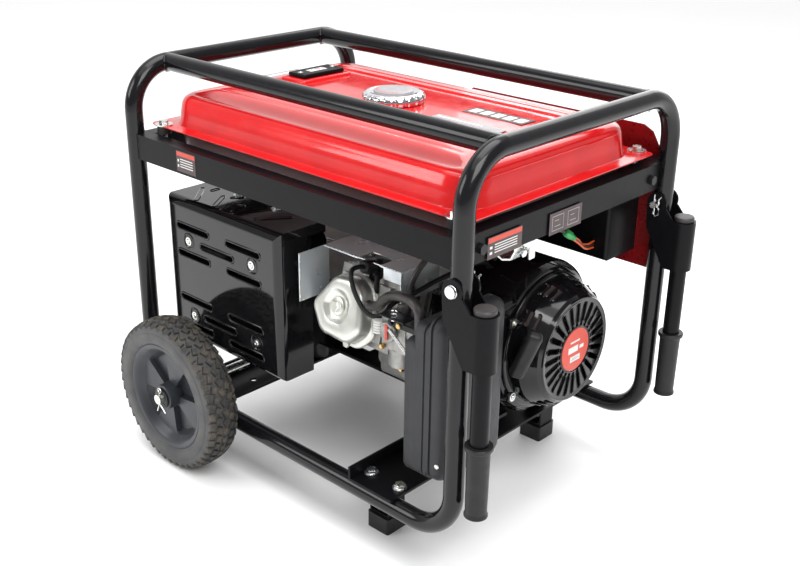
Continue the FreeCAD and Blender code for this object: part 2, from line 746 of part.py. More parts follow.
def cylinder_head():
    """The finned head between the barrel and the rocker cover, with its intake and exhaust ports."""
    head = Part.makeBox(116, 14, 104, Vec(CYL - 58, -162.04, -52))
    head = head.fuse(Part.makeBox(96, 58, 84, Vec(CYL - 48, -220, -42)))
    for number in range(5):
        head = head.fuse(Part.makeBox(118, 3, 106, Vec(CYL - 59, -(174 + 9 * number), -53)))
    ports = [Part.makeCylinder(20, 14, Vec(CYL + 56, -192, 8), Vec(1, 0, 0)),
             Part.makeCylinder(20, 14, Vec(CYL - 70, -192, 0), Vec(1, 0, 0))]
    head = head.fuse(ports)
    passages = [Part.makeCylinder(13, 40, Vec(CYL + 36, -192, 8), Vec(1, 0, 0)),
                Part.makeCylinder(13, 40, Vec(CYL - 76, -192, 0), Vec(1, 0, 0))]
    plug_wells = [Part.makeCylinder(12.6, 30, Vec(CYL + 6, -204, 42)),
                  Part.makeCylinder(13, 60, Vec(CYL + 6, -185, 63), Vec(0, -1, 0))]
    for hole in passages + plug_wells:
        head = head.cut(hole)
    return tilted(max(head.removeSplitter().Solids, key=lambda solid: solid.Volume))


finish(feature(piston()), "piston")
finish(feature(cylinder_head()), "cylinder_head")

# rocker cover: a pressed hexagonal lid on a wider flange, drawn in its own plane and stood on the head
HEX = [(-72, -12), (-34, 42), (4, 45), (27, 26), (34, -30), (12, -52), (-44, -50)]
flange_points = [(x * 1.1 + 2, z * 1.12 - 2) for x, z in HEX]
rocker = padded("rocker", "XZ_Plane", flange_points, 5, offset=220.04)
doc.recompute()
lid_sketch = sketch_on(rocker, "XZ_Plane", HEX, 225)
lid_pad = rocker.newObject("PartDesign::Pad", "lid")
lid_pad.Profile = lid_sketch
lid_pad.Length = 28
doc.recompute()
dimple = rocker.newObject("Sketcher::SketchObject", "dimple")
dimple.AttachmentSupport = [(plane_of(rocker, "XZ_Plane"), "")]
dimple.MapMode = "FlatFace"
dimple.AttachmentOffset = FreeCAD.Placement(Vec(0, 0, 253.1), FreeCAD.Rotation())
dimple.addGeometry(Part.Circle(Vec(-20, -3, 0), Vec(0, 0, 1), 25), False)
dimple_cut = rocker.newObject("PartDesign::Pocket", "dimple_cut")
dimple_cut.Profile = dimple
dimple_cut.Length = 7
doc.recompute()
breather_spigot = rod(3.9, 21, (18, -240, 14), "X")
finish(fuse(rocker, breather_spigot), "rocker_cover", (CYL, CRANK.y, CRANK.z), TILT)
rocker_bolt = hex_bolt(5, 1, 9, 7, (CYL - 20, -247.14, -3), (0, 1, 0))
rocker_bolt.Placement = FreeCAD.Placement(CRANK, TILT).multiply(rocker_bolt.Placement)
zinc_bolts.append(rocker_bolt)


def heat_shield():
    """Zinc-plated cowl over the cylinder: a top sheet with turned-down sides."""
    thick = 1.5
    top = Part.makeBox(158, 82, thick, Vec(-6, -142, 386))
    right = Part.makeBox(thick, 82, 46, Vec(150.5, -142, 341.5))
    front = Part.makeBox(34, thick, 18, Vec(118, -142, 369.5))
    left = Part.makeBox(thick, 60, 76, Vec(-6, -192, 311.5))
    left = left.cut(Part.makeCylinder(18.6, 10, Vec(-10, -122.5, 309), Vec(1, 0, 0)))
    cowl = top.fuse([right, front, left])
    return cowl.cut(Part.makeBox(44, 40, 60, Vec(66, -150, 340))).removeSplitter()


finish(feature(heat_shield()), "cylinder_cowl")

carb_body = block(44, 36, 50, (154.5, -182, 290))
carb_bowl = rod(19, 26, (177, -164, 264))
carb_throat = rod(17, 30, (198, -164, 322), "X")
choke_stub = rod(3, 8, (176, -190, 334), "Y")
carb_bore = rod(11, 90, (150, -164, 322), "X")
finish(cut(fuse(carb_body, carb_bowl, carb_throat), carb_bore, choke_stub), "carburettor")
choke_hub = rod(7, 4, (176, -186.1, 334), "Y")
choke_pin = rod(2.94, 7, (176, -189.5, 334), "Y")
choke_arm = block(46, 2.5, 8, (176, -186.1, 330))
finish(fuse(choke_hub, choke_pin, choke_arm), "choke_lever")

plug_body = Part.makeCylinder(9, 21, Vec(CYL + 6, -204, 42.04), Vec(0, 0, 1))
plug_boot = Part.makeCylinder(12, 48, Vec(CYL + 6, -192, 63), Vec(0, -1, 0))
finish(feature(tilted(plug_body.fuse(plug_boot).removeSplitter())), "spark_plug_cap")

filter_left = dim("filter_left")
filter_near = dim("filter_near")
filter_low = dim("filter_low")
case_width = (dim("filter_right") - filter_left) * 0.62
inner_depth = dim("filter_far") - filter_near - 6
inner_height = dim("filter_top") - filter_low - 6
step_top = dim("filter_top") - 29
filter_case = block(case_width, "filter_far - filter_near", "filter_top - filter_low",
                    ("filter_left", "filter_near", "filter_low"))
filter_case = rounded(filter_case, 14, runs_along(Vec(1, 0, 0)))
filter_hollow = rounded(block(case_width - 2.5, inner_depth, inner_height,
                              (filter_left + 2.5, filter_near + 3, filter_low + 3)),
                        12, runs_along(Vec(1, 0, 0)))
filter_hollow = cut(filter_hollow, block(20, 200, 60, (filter_left, filter_near - 20, step_top - 2.5)))
case_step = block(18, 200, 60, (filter_left - 0.5, filter_near - 20, step_top))
throat_hole = rod(15, 20, (filter_left - 5, -164, 322), "X")
finish(cut(filter_case, filter_hollow, case_step, throat_hole), "air_cleaner_case")
lid_left = filter_left + case_width + 0.02
lid_width = dim("filter_right") - lid_left
filter_lid = block(lid_width, "filter_far - filter_near", "filter_top - filter_low + 12",
                   (lid_left, "filter_near", "filter_low"))
filter_lid = rounded(filter_lid, 18, runs_along(Vec(1, 0, 0)))
lid_hollow = rounded(block(lid_width - 3, inner_depth, inner_height,
                           (lid_left - 1, filter_near + 3, filter_low + 3)),
                     12, runs_along(Vec(1, 0, 0)))
finish(cut(filter_lid, lid_hollow), "air_cleaner_cover")
finish(block(40, 112, 180, (filter_left + 16, filter_near + 12, filter_low + 16)), "air_filter")


def fan_shroud():
    """Pressed cover round the fan, with a tongue that leads the air on to the cylinder."""
    back = 165
    front = 262
    radius = dim("shroud_radius")
    outer = Part.makeCylinder(radius, front - back, Vec(back, 0, 0), Vec(1, 0, 0))
    tongue = Part.makeBox(front - back, 150, 120, Vec(back, -150, -30))
    outer = outer.fuse(tongue).removeSplitter()
    edge_list = [edge for edge in outer.Edges
                 if edge.BoundBox.XLength < 0.01 and abs(edge.BoundBox.XMin - front) < 0.01]
    outer = outer.makeFillet(16, edge_list)
    inner = Part.makeCylinder(radius - 2, front - back, Vec(back - 2, 0, 0), Vec(1, 0, 0))
    inner = inner.fuse(Part.makeBox(front - back - 12, 145, 112, Vec(back - 2, -147, -26)))
    mouth = Part.makeCylinder(88, 30, Vec(front - 20, 0, 0), Vec(1, 0, 0))
    return outer.cut(inner).cut(mouth).removeSplitter()


shroud = fan_shroud()
shroud.Placement = FreeCAD.Placement(CRANK, FreeCAD.Rotation())
shroud = shroud.cut(Part.makeBox(80, 80, 300, Vec(226, -146, 100)))
shroud = shroud.cut(Part.makeCylinder(4.6, 60, Vec(190, 10, 330)))
shroud = max(shroud.Solids, key=lambda solid: solid.Volume)
finish(feature(shroud), "fan_shroud")


def recoil_housing():
    """The starter's dished cover: radial slots in its face, slots in its side, and a rope eyelet."""
    front = dim("recoil_front")
    root = 262.05
    face = dim("recoil_radius")
    base = dim("recoil_root")
    profile = [(root, base + 5), (root, base - 3), (front - 30, base - 4), (front - 3, face - 4),
               (front - 3, 0), (front, 0), (front, face - 5), (front - 6, face + 1), (front - 30, base),
               (root + 4, base + 2), (root + 4, base + 5)]
    body = turned("recoil", "XZ_Plane", profile)
    slot_outline = [(36, -3.2), (76, -5.5), (76, 5.5), (36, 3.2)]
    slot = pocket(body, "YZ_Plane", slot_outline, 12, offset=front - 6, reverse=True)
    around(body, slot, 24, "N_Axis")
    return body


# the rope leaves the housing outwards, sideways and a little down, so that the grip clears the air cleaner
PULL = Vec(0.5, -0.77, -0.4).normalize()
GRIP = Vec(311, -116, 30)
rope_inside = 104
pulley_post = rod(10, 38, (276, 0, 0), "X")
eyelet = feature(Part.makeCylinder(9, 16, GRIP - PULL * 30, PULL))
rope_hole = feature(Part.makeCylinder(3.2, 60, GRIP - PULL * 60, PULL))
finish(cut(fuse(recoil_housing(), pulley_post, eyelet), rope_hole), "recoil_housing", CRANK)

groove = dim("pulley_radius")
pulley_points = [(278, 10.06), (278, 64), (284, 64), (286, groove), (294, groove), (296, 64), (303, 64),
                 (303, 58), (298, 40), (298, 10.06)]
finish(turned("pulley", "XZ_Plane", pulley_points), "recoil_pulley", CRANK)


def pull_grip():
    """A T grip with the straight end of its rope."""
    bar = Part.makeBox(23, 18, 96, Vec(-11.5, -9, -48))
    bar = bar.makeFillet(7, bar.Edges)
    bar.rotate(Vec(0, 0, 0), Vec(0, 1, 0), 23)
    bar.Placement = FreeCAD.Placement(GRIP, FreeCAD.Rotation(Vec(0, -1, 0), PULL)).multiply(bar.Placement)
    rope = Part.makeCylinder(2.2, rope_inside, GRIP, PULL * -1)
    return bar.fuse(rope).removeSplitter()


finish(feature(pull_grip()), "pull_grip", CRANK)

# dipstick and drain plug on the near side of the crankcase foot
dipstick = rod(11, 22, (140, -58.04, SUMP + 30), "Y")
drain_plug = rod(8, 14, (100, -50.04, SUMP + 14), "Y")
finish(group(dipstick, drain_plug), "oil_plugs")

# ---------------------------------------------------------------- muffler
guard_length = dim("guard_right") - dim("guard_left")
guard_near = dim("guard_near")


def on_guard_face(edge):
    return abs(edge.CenterOfMass.y - guard_near) < 0.01


def on_hollow_face(edge):
    return abs(edge.CenterOfMass.y - guard_near - 2) < 0.01


guard_box = block("guard_right - guard_left", "guard_depth", "guard_top - guard_low",
                  ("guard_left", "guard_near", "guard_low"))
guard_box = rounded(guard_box, 14, on_guard_face)
guard_hollow = rounded(block(guard_length - 4, "guard_depth + 20", "guard_top - guard_low - 4",
                             ("guard_left + 2", "guard_near + 2", "guard_low + 2")), 12, on_hollow_face)
# the right wall stops short of the exhaust pipe
pipe_gap = block(20, 60, 230, (dim("guard_right") - 15, guard_near + 66, 165))
# two groups of five louvres, one over the other
louvres = []
for middle_z in (345, 221):
    for offset_x, offset_z in ((-59, 23), (-59, -23), (0, 0), (64, 23), (64, -23)):
        louvres.append(block(80, 20, 9, (-177 + offset_x - 40, guard_near - 5, middle_z + offset_z - 4.5)))
finish(cut(guard_box, guard_hollow, pipe_gap, *louvres), "muffler_guard")

muffler_box = rounded(block(222, 118, 206, (-290, -196, 184)), 38, runs_along(Vec(1, 0, 0)))
muffler_hollow = rounded(block(218, 114, 202, (-288, -194, 186)), 36, runs_along(Vec(1, 0, 0)))


def exhaust_pipe():
    """From the head's exhaust port to the muffler's end wall."""
    tilt = math.radians(dim("cylinder_tilt"))
    port_y = CRANK.y - 192 * math.cos(tilt)
    port_z = CRANK.z + 192 * math.sin(tilt)
    points = [(CYL - 70.04, port_y, port_z), (-20, port_y, port_z), (-42, -122, 308), (-67.96, -122, 308)]
    path = rounded_path(points, [14, 14])
    return swept(path, 16).cut(swept(path, 13))


muffler_can = cut(muffler_box, muffler_hollow, rod(13, 30, (-80, -122, 308), "X"))
finish(fuse(muffler_can, feature(exhaust_pipe())), "muffler")

# ---------------------------------------------------------------- control box and panel
panel_y = dim("panel_place")
panel_outline = [(-62, 333), (317, 333), (317, 524), (302, 548), (286, 556), (-46, 556), (-62, 540)]
panel = padded("panel", "XZ_Plane", panel_outline, 2, offset=-panel_y - 2)
SOCKETS = (150, 232)
socket_z = 410
for x in SOCKETS:
    socket_hole = rectangle(x - 24, x + 24, socket_z - 24, socket_z + 24)
    pocket(panel, "XZ_Plane", socket_hole, 10, -panel_y - 5, reverse=True)
pocket(panel, "XZ_Plane", rectangle(26, 48, 440, 466), 10, -panel_y - 5, reverse=True)
pocket(panel, "XZ_Plane", rectangle(26, 48, 392, 420), 10, -panel_y - 5, reverse=True)
finish(panel, "control_panel")

box_shell = block("box_right - box_left", "panel_place - box_near - 0.02", "box_top - box_low",
                  ("box_left", "box_near", "box_low"))
box_shell = rounded(box_shell, 5, lambda edge: abs(edge.CenterOfMass.y - dim("box_near")) < 0.01)
box_hollow = block("box_right - box_left - 5", "panel_place - box_near", "box_top - box_low - 5",
                   ("box_left + 2.5", "box_near + 2.5", "box_low + 2.5"))
finish(cut(box_shell, box_hollow), "control_box")


def panel_fittings():
    """Two shuttered sockets, a voltmeter and an earth terminal, each set in or on the panel."""
    pieces = []
    for x in SOCKETS:
        body = Part.makeBox(47, 44, 47, Vec(x - 23.5, panel_y - 40, socket_z - 23.5))
        well = Part.makeCylinder(20, 26, Vec(x, panel_y - 20, socket_z), Vec(0, 1, 0))
        hinge = Part.makeBox(34, 9, 6, Vec(x - 17, panel_y + 2.02, socket_z + 25))
        hinge = hinge.cut(Part.makeBox(17.6, 20, 20, Vec(x - 8.8, panel_y + 4.02, socket_z + 20)))
        hinge = hinge.cut(Part.makeCylinder(1.6, 60, Vec(x - 30, panel_y + 8, socket_z + 28), Vec(1, 0, 0)))
        plate = Part.makeBox(56, 2, 56, Vec(x - 28, panel_y + 2.02, socket_z - 28))
        pieces.append(body.fuse([hinge, plate]).cut(well).removeSplitter())
    meter = Part.makeBox(54, 8, 34, Vec(62, panel_y + 2.02, 436))
    pieces.append(meter)
    post = Part.makeCylinder(4, 22, Vec(-30, panel_y + 2.02, 356), Vec(0, 1, 0))
    nut = Part.makeCylinder(9, 7, Vec(-30, panel_y + 6, 356), Vec(0, 1, 0))
    pieces.append(post.fuse(nut).removeSplitter())
    return Part.makeCompound(pieces)


finish(feature(panel_fittings()), "panel_fittings")

for number, x in enumerate(SOCKETS, start=1):
    lid = Part.makeCylinder(24, 3, Vec(x, panel_y + 6.5, socket_z - 1), Vec(0, 1, 0))
    arm = Part.makeBox(16, 3, 16, Vec(x - 8, panel_y + 6.5, socket_z + 12))
    knuckle = Part.makeCylinder(2.9, 16, Vec(x - 8, panel_y + 8, socket_z + 28), Vec(1, 0, 0))
    pin = Part.makeCylinder(1.53, 32, Vec(x - 16, panel_y + 8, socket_z + 28), Vec(1, 0, 0))
    lid = lid.fuse([arm, knuckle, pin]).removeSplitter()
    finish(feature(lid), f"socket_lid_{number}")
for name, middle in (("breaker_switch", 453), ("engine_switch", 406)):
    barrel = Part.makeCylinder(8, 18, Vec(28, panel_y - 2, middle), Vec(1, 0, 0))
    tip = Part.makeBox(18, 14, 7, Vec(28, panel_y - 2, middle - 3.5))
    key = barrel.fuse(tip).removeSplitter()
    key.rotate(Vec(0, panel_y - 2, middle), Vec(1, 0, 0), -15)
    finish(feature(key), name)

# ---------------------------------------------------------------- fuel tap, hoses and wires
TAP = Vec(262, -120, dim("tank_floor"))
tap_body = rod(6.5, 26, (TAP.x, TAP.y, TAP.z - 24))
tap_barrel = rod(9, 26, (TAP.x, TAP.y - 13, TAP.z - 32), "Y")
tap_outlet = rod(4, 22, (TAP.x - 24, TAP.y, TAP.z - 32), "X")
lever_hole = rod(3, 12, (TAP.x, TAP.y - 20, TAP.z - 32), "Y")
finish(cut(fuse(tap_body, tap_barrel, tap_outlet), lever_hole), "fuel_tap")
lever_pin = rod(2.94, 10, (TAP.x, TAP.y - 18.5, TAP.z - 32), "Y")
lever_bar = block(34, 4, 9, (TAP.x - 5, TAP.y - 20, TAP.z - 36.5))
finish(fuse(lever_pin, lever_bar), "fuel_tap_lever")

BREATHER = [(112.5, -166.8, 335.6), (132, -166.8, 335.6), (156, -177, 364), (188, -187, 380),
            (218, -193, 384), (236, -196, 376), (238, -196, 358), (238, -196, 341.02)]
FUEL_LINE = [(TAP.x - 24, TAP.y, TAP.z - 32), (210, TAP.y, TAP.z - 32), (194, -132, 424), (187, -156, 396),
             (186, -164, 368), (186, -164, 340.02)]
breather = hose("breather_hose", BREATHER, 7, 4)
fuel_line = hose("fuel_line", FUEL_LINE, 4.5, 2.5)
finish(group(breather, fuel_line), "hoses")
PLUG_LEAD = [(88, -153.5, 382.8), (88, -174, 388), (95, -185, 381), (100, -185, 362), (112, -186, 346),
             (128, -188, 334), (143, -182, 330), (150.2, -170, 335), (151, -158, 348),
             (161, -138, 353), (166, -80, 364), (180, -20, 376), (190, 10, 374), (190, 10, 352)]
finish(hose("plug_lead", PLUG_LEAD, 3.5), "ignition_lead")

# ---------------------------------------------------------------- lift handles
HANDLE = dim("handle_place")
PIVOT = dim("handle_pivot")


def handle_arm(side):
    """A sheet bracket folded round the handle tube, with two ears that straddle the post."""
    y = side * POST_Y
    inner = TUBE + 1
    thick = 3
    low = dim("socket_low")
    top = PIVOT + 17
    outer_block = Part.makeBox(HANDLE - 316, 2 * (inner + thick), top - low, Vec(316, y - inner - thick, low))
    outer_round = Part.makeCylinder(inner + thick, top - low, Vec(HANDLE, y, low))
    hollow = Part.makeBox(HANDLE - 300, 2 * inner, top - low + 2, Vec(300, y - inner, low - 1))
    hollow_round = Part.makeCylinder(inner, top - low + 2, Vec(HANDLE, y, low - 1))
    folded = outer_block.fuse(outer_round).cut(hollow.fuse(hollow_round))
    socket_top = dim("socket_top")
    corners = [(POST_X - 16, PIVOT), (POST_X - 14, PIVOT - 40), (POST_X + 20, low), (HANDLE + 30, low),
               (HANDLE + 30, socket_top), (POST_X + 30, socket_top), (POST_X + 16, PIVOT - 6)]
    outline = Part.Face(Part.makePolygon([Vec(x, y - 30, z) for x, z in corners + corners[:1]]))
    profile = outline.extrude(Vec(0, 60, 0))
    ear = Part.makeCylinder(16, 60, Vec(POST_X, y - 30, PIVOT), Vec(0, 1, 0))
    arm = folded.common(profile.fuse(ear))
    arm = arm.cut(Part.makeCylinder(5.05, 60, Vec(POST_X, y - 30, PIVOT), Vec(0, 1, 0)))
    core = Part.makeCylinder(inner + 0.5, 46, Vec(HANDLE, y, low + 4))
    core = core.common(Part.makeBox(60, 60, 60, Vec(POST_X + TUBE + 1.5, y - 30, low)))
    pole = Part.makeCylinder(dim("handle_tube"), socket_top - 170, Vec(HANDLE, y, 170))
    pole_bore = Part.makeCylinder(dim("handle_tube") - 1.6, socket_top - 169, Vec(HANDLE, y, 169))
    return arm.fuse([core, pole]).cut(pole_bore).removeSplitter()


def handle_grip(side):
    """The rubber grip with its collar, and the plug in the tube's upper end."""
    y = side * POST_Y
    low = dim("grip_low")
    top = dim("grip_top")
    grip = Part.makeCylinder(dim("grip_radius"), top - low, Vec(HANDLE, y, low))
    grip = grip.fuse(Part.makeCylinder(dim("collar_radius"), 6, Vec(HANDLE, y, top - 6)))
    bore = Part.makeCylinder(dim("handle_tube"), top - 169.98, Vec(HANDLE, y, 169.98))
    plug_low = dim("socket_top") + 0.02
    plug = Part.makeCylinder(14.8, dim("plug_top") - plug_low, Vec(HANDLE, y, plug_low))
    return Part.makeCompound([grip.cut(bore).removeSplitter(), plug])


for side, name in ((-1, "near"), (1, "far")):
    finish(feature(handle_arm(side)), "handle_arm_" + name)
    finish(feature(handle_grip(side)), "handle_grip_" + name)


def handle_pins():
    """A headed pin through each post and its bracket, with an R-clip through its inner end."""
    pieces = []
    for side in (-1, 1):
        outer_face = side * (POST_Y + TUBE + 4.2)
        start = Vec(POST_X, outer_face, PIVOT)
        inward = Vec(0, -side, 0)
        shank = Part.makeCylinder(5, 48, start, inward)
        head = Part.makeCylinder(8, 4, start - inward * 4, inward)
        clip_y = outer_face - side * 42
        pin = shank.fuse(head).cut(Part.makeCylinder(1.3, 20, Vec(POST_X, clip_y, PIVOT - 10)))
        pieces.append(pin.removeSplitter())
        pieces.append(Part.makeCylinder(1.2, 24, Vec(POST_X, clip_y, PIVOT - 16)))
    return Part.makeCompound(pieces)


finish(feature(handle_pins()), "handle_pins")

finish(feature(Part.makeCompound(zinc_bolts)), "zinc_bolts")

# ---------------------------------------------------------------- check and write
doc.recompute()
for obj in doc.Objects:
    if "Invalid" in obj.State or "Error" in obj.State:
        raise ValueError(f"{obj.Label} did not build: {obj.State}")
os.makedirs("parts", exist_ok=True)
for obj in sub_parts:
    if obj.Shape.isNull() or not obj.Shape.isValid():
        raise ValueError(f"{obj.Label} is not a valid shape")
    obj.Shape.exportStep(f"parts/{obj.Label}.step")
print(len(sub_parts), "sub-parts written")
whole = Part.makeCompound([obj.Shape for obj in sub_parts])
print("box", whole.BoundBox)
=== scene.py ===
"""How a portable petrol generator looks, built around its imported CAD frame.
"""
import random
from math import cos, exp, pi, radians, sin, sqrt, tau

import bmesh
import bpy
from mathutils import Matrix, Quaternion, Vector


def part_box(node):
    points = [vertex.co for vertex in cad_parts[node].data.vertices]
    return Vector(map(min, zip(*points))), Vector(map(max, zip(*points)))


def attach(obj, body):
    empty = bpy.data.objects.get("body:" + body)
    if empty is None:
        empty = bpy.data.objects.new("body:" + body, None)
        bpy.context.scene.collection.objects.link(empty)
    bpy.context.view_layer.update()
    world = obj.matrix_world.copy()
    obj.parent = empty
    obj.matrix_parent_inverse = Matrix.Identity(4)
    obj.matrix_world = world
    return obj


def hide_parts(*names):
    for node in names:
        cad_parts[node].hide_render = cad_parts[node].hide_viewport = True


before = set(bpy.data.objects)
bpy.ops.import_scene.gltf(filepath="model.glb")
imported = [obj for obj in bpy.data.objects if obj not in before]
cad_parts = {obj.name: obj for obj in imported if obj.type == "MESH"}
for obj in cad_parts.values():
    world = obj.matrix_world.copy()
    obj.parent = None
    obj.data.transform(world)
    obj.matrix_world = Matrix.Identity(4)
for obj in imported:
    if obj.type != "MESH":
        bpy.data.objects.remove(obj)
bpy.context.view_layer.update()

MM = 0.001
MIDDLE = (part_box("hoop_wheel_end")[0].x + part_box("hoop_handle_end")[1].x) / 2
TO_ROW = Matrix.Translation((MIDDLE, 0, 0)) @ Matrix.Scale(MM, 4)
X, Y, Z = Vector((1, 0, 0)), Vector((0, 1, 0)), Vector((0, 0, 1))
chance = random.Random(7)


def at(x, y, z):
    """A point or a direction, in millimetres."""
    return Vector((x, y, z))


def span(node):
    """A CAD node's lowest and highest corners, in millimetres."""
    to_own = TO_ROW.inverted()
    return [to_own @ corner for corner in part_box(node)]


def middle(node):
    """The middle of a CAD node's box, in millimetres."""
    low, high = span(node)
    return (low + high) / 2


# -------- materials
def add_node(tree, kind, **inputs):
    node = tree.nodes.new(kind)
    for name, value in inputs.items():
        node.inputs[name.replace("_", " ")].default_value = value
    return node


def noise(tree, scale, detail=3.0):
    """Noise in the piece's own space, with scale in bumps per metre."""
    place = tree.nodes.new("ShaderNodeTexCoord")
    node = add_node(tree, "ShaderNodeTexNoise", Scale=scale, Detail=detail)
    tree.links.new(place.outputs["Object"], node.inputs["Vector"])
    return node


def ranged(tree, source, low, high, start=0.3, end=0.7):
    """A node's value, carried from the range start to end into the range low to high."""
    node = add_node(tree, "ShaderNodeMapRange", From_Min=start, From_Max=end, To_Min=low, To_Max=high)
    tree.links.new(source, node.inputs["Value"])
    return node.outputs["Result"]


def surface(name, colour, rough, metal=0.0, coat=0.0, second=None, patch=60, patch_share=0.5,
            grain=(900, 0.05), rough_spread=0.06, coat_rough=0.08, dents=None, shine=0.5):
    """A finish: two tones in soft patches, roughness that wanders, and a fine grain in the bump."""
    material = bpy.data.materials.new(name)
    material.use_nodes = True
    tree = material.node_tree
    shader = tree.nodes["Principled BSDF"]
    shader.inputs["Metallic"].default_value = metal
    shader.inputs["Specular IOR Level"].default_value = shine
    shader.inputs["Coat Weight"].default_value = coat
    shader.inputs["Coat Roughness"].default_value = coat_rough
    broad = noise(tree, patch, 5.0)
    mix = tree.nodes.new("ShaderNodeMix")
    mix.data_type = "RGBA"
    mix.inputs["A"].default_value = (*colour, 1)
    other = second or [channel * 1.25 + 0.002 for channel in colour]
    mix.inputs["B"].default_value = (*other, 1)
    half = patch_share / 2
    tree.links.new(ranged(tree, broad.outputs["Fac"], 0, 1, 0.62 - half, 0.92 - half), mix.inputs["Factor"])
    tree.links.new(mix.outputs["Result"], shader.inputs["Base Color"])
    wander = noise(tree, patch * 2.3, 4.0)
    rough_low = max(0.02, rough - rough_spread)
    tree.links.new(ranged(tree, wander.outputs["Fac"], rough_low, rough + rough_spread),
                   shader.inputs["Roughness"])
    fine = noise(tree, grain[0], 2.0)
    bump = add_node(tree, "ShaderNodeBump", Strength=grain[1], Distance=0.001)
    tree.links.new(fine.outputs["Fac"], bump.inputs["Height"])
    if dents:
        wave = noise(tree, dents[0], 1.0)
        broad_bump = add_node(tree, "ShaderNodeBump", Strength=dents[1], Distance=0.004)
        tree.links.new(wave.outputs["Fac"], broad_bump.inputs["Height"])
        tree.links.new(broad_bump.outputs["Normal"], bump.inputs["Normal"])
    tree.links.new(bump.outputs["Normal"], shader.inputs["Normal"])
    return material


def lined(material, scale, strength, direction):
    """Fine parallel lines in the bump, such as laminations or a turned face."""
    tree = material.node_tree
    place = tree.nodes.new("ShaderNodeTexCoord")
    wave = add_node(tree, "ShaderNodeTexWave", Scale=scale)
    wave.bands_direction = direction
    bump = add_node(tree, "ShaderNodeBump", Strength=strength, Distance=0.0006)
    shader = tree.nodes["Principled BSDF"]
    before = shader.inputs["Normal"].links[0].from_socket
    tree.links.new(place.outputs["Object"], wave.inputs["Vector"])
    tree.links.new(wave.outputs["Fac"], bump.inputs["Height"])
    tree.links.new(before, bump.inputs["Normal"])
    tree.links.new(bump.outputs["Normal"], shader.inputs["Normal"])
    return material


FRAME_BLACK = surface("frame_black", (0.005, 0.0053, 0.0063), 0.20, coat=0.30, grain=(1400, 0.01),
                      coat_rough=0.08, second=(0.0065, 0.0065, 0.008), rough_spread=0.04, shine=0.2)
SATIN_BLACK = surface("satin_black", (0.0045, 0.0047, 0.0056), 0.30, coat=0.0, grain=(1200, 0.04),
                      second=(0.0055, 0.0056, 0.0068), rough_spread=0.02, shine=0.12)
GLOSS_BLACK = surface("gloss_black", (0.0045, 0.0047, 0.0055), 0.09, coat=0.3, grain=(700, 0.01),
                      coat_rough=0.03, second=(0.007, 0.007, 0.008), rough_spread=0.02,
                      dents=(14, 0.08), shine=0.3)
TANK_RED = surface("tank_red", (0.60, 0.007, 0.009), 0.20, coat=0.45, grain=(900, 0.01),
                   coat_rough=0.04, second=(0.66, 0.010, 0.012), patch=22, dents=(18, 0.03), shine=0.4)
PANEL_RED = surface("panel_red", (0.20, 0.004, 0.006), 0.30, coat=0.2, grain=(1100, 0.05),
                    second=(0.26, 0.006, 0.008), dents=(20, 0.05))
CHROME = surface("chrome", (0.80, 0.80, 0.82), 0.07, metal=1.0, grain=(500, 0.02), second=(0.70, 0.71, 0.73),
                 rough_spread=0.03)
ZINC = surface("zinc", (0.66, 0.69, 0.72), 0.27, metal=1.0, grain=(600, 0.06), second=(0.78, 0.77, 0.70),
               patch=45, rough_spread=0.06, dents=(22, 0.05))
COWL_ZINC = surface("cowl_zinc", (0.74, 0.80, 0.86), 0.24, metal=0.55, grain=(500, 0.01),
                    second=(0.80, 0.82, 0.80), patch=16, rough_spread=0.04, dents=(14, 0.02))
# The tank's underside: its red darkened to near black as painted shade, so that it throws no red reflection
# on the shroud.
TANK_RED_PAINTED_SHADE = surface("tank_red_painted_shade", (0.05, 0.002, 0.003), 0.35, grain=(900, 0.02),
                    second=(0.06, 0.003, 0.004), shine=0.2)
ROCKER_SILVER = surface("rocker_silver", (0.66, 0.67, 0.63), 0.33, metal=0.85, grain=(900, 0.06),
                        second=(0.70, 0.70, 0.64), patch=30, rough_spread=0.05)
CAST_ALUMINIUM = surface("cast_aluminium", (0.33, 0.33, 0.32), 0.48, metal=0.9, grain=(1500, 0.3),
                         second=(0.42, 0.41, 0.39), patch=80, rough_spread=0.1)
MACHINED_STEEL = lined(surface("machined_steel", (0.42, 0.42, 0.43), 0.34, metal=1.0, grain=(1500, 0.05)),
                       340, 0.15, "X")
LAMINATIONS = lined(surface("laminations", (0.20, 0.19, 0.19), 0.45, metal=0.9, grain=(1500, 0.1),
                            second=(0.26, 0.22, 0.19)), 160, 0.6, "X")
CAST_IRON = surface("cast_iron", (0.10, 0.10, 0.105), 0.6, metal=0.6, grain=(1300, 0.5),
                    second=(0.14, 0.12, 0.11))
BRASS = surface("brass", (0.72, 0.48, 0.18), 0.28, metal=1.0, grain=(900, 0.05), second=(0.62, 0.38, 0.14))
TYRE_RUBBER = surface("tyre_rubber", (0.030, 0.029, 0.028), 0.68, grain=(1100, 0.5),
                      second=(0.105, 0.085, 0.060), patch=55, patch_share=0.34, rough_spread=0.12)
SIDEWALL_RUBBER = surface("sidewall_rubber", (0.050, 0.051, 0.054), 0.55, grain=(1300, 0.25),
                          second=(0.075, 0.073, 0.070), patch=28, rough_spread=0.08)
HOSE_RUBBER = surface("hose_rubber", (0.022, 0.020, 0.021), 0.38, grain=(1000, 0.12),
                      second=(0.045, 0.038, 0.037), patch=70)
GRIP_RUBBER = surface("grip_rubber", (0.009, 0.009, 0.010), 0.42, grain=(1500, 0.2),
                      second=(0.014, 0.014, 0.014), shine=0.32)
PLUG_RUBBER = surface("plug_rubber", (0.030, 0.027, 0.027), 0.5, grain=(1200, 0.2),
                      second=(0.048, 0.042, 0.041))
RIM_PLASTIC = surface("rim_plastic", (0.022, 0.025, 0.031), 0.38, grain=(1500, 0.12),
                      second=(0.030, 0.033, 0.040), patch=24)
CASE_PLASTIC = surface("case_plastic", (0.022, 0.023, 0.027), 0.42, grain=(1600, 0.4),
                       second=(0.027, 0.028, 0.032), patch=18, shine=0.4)
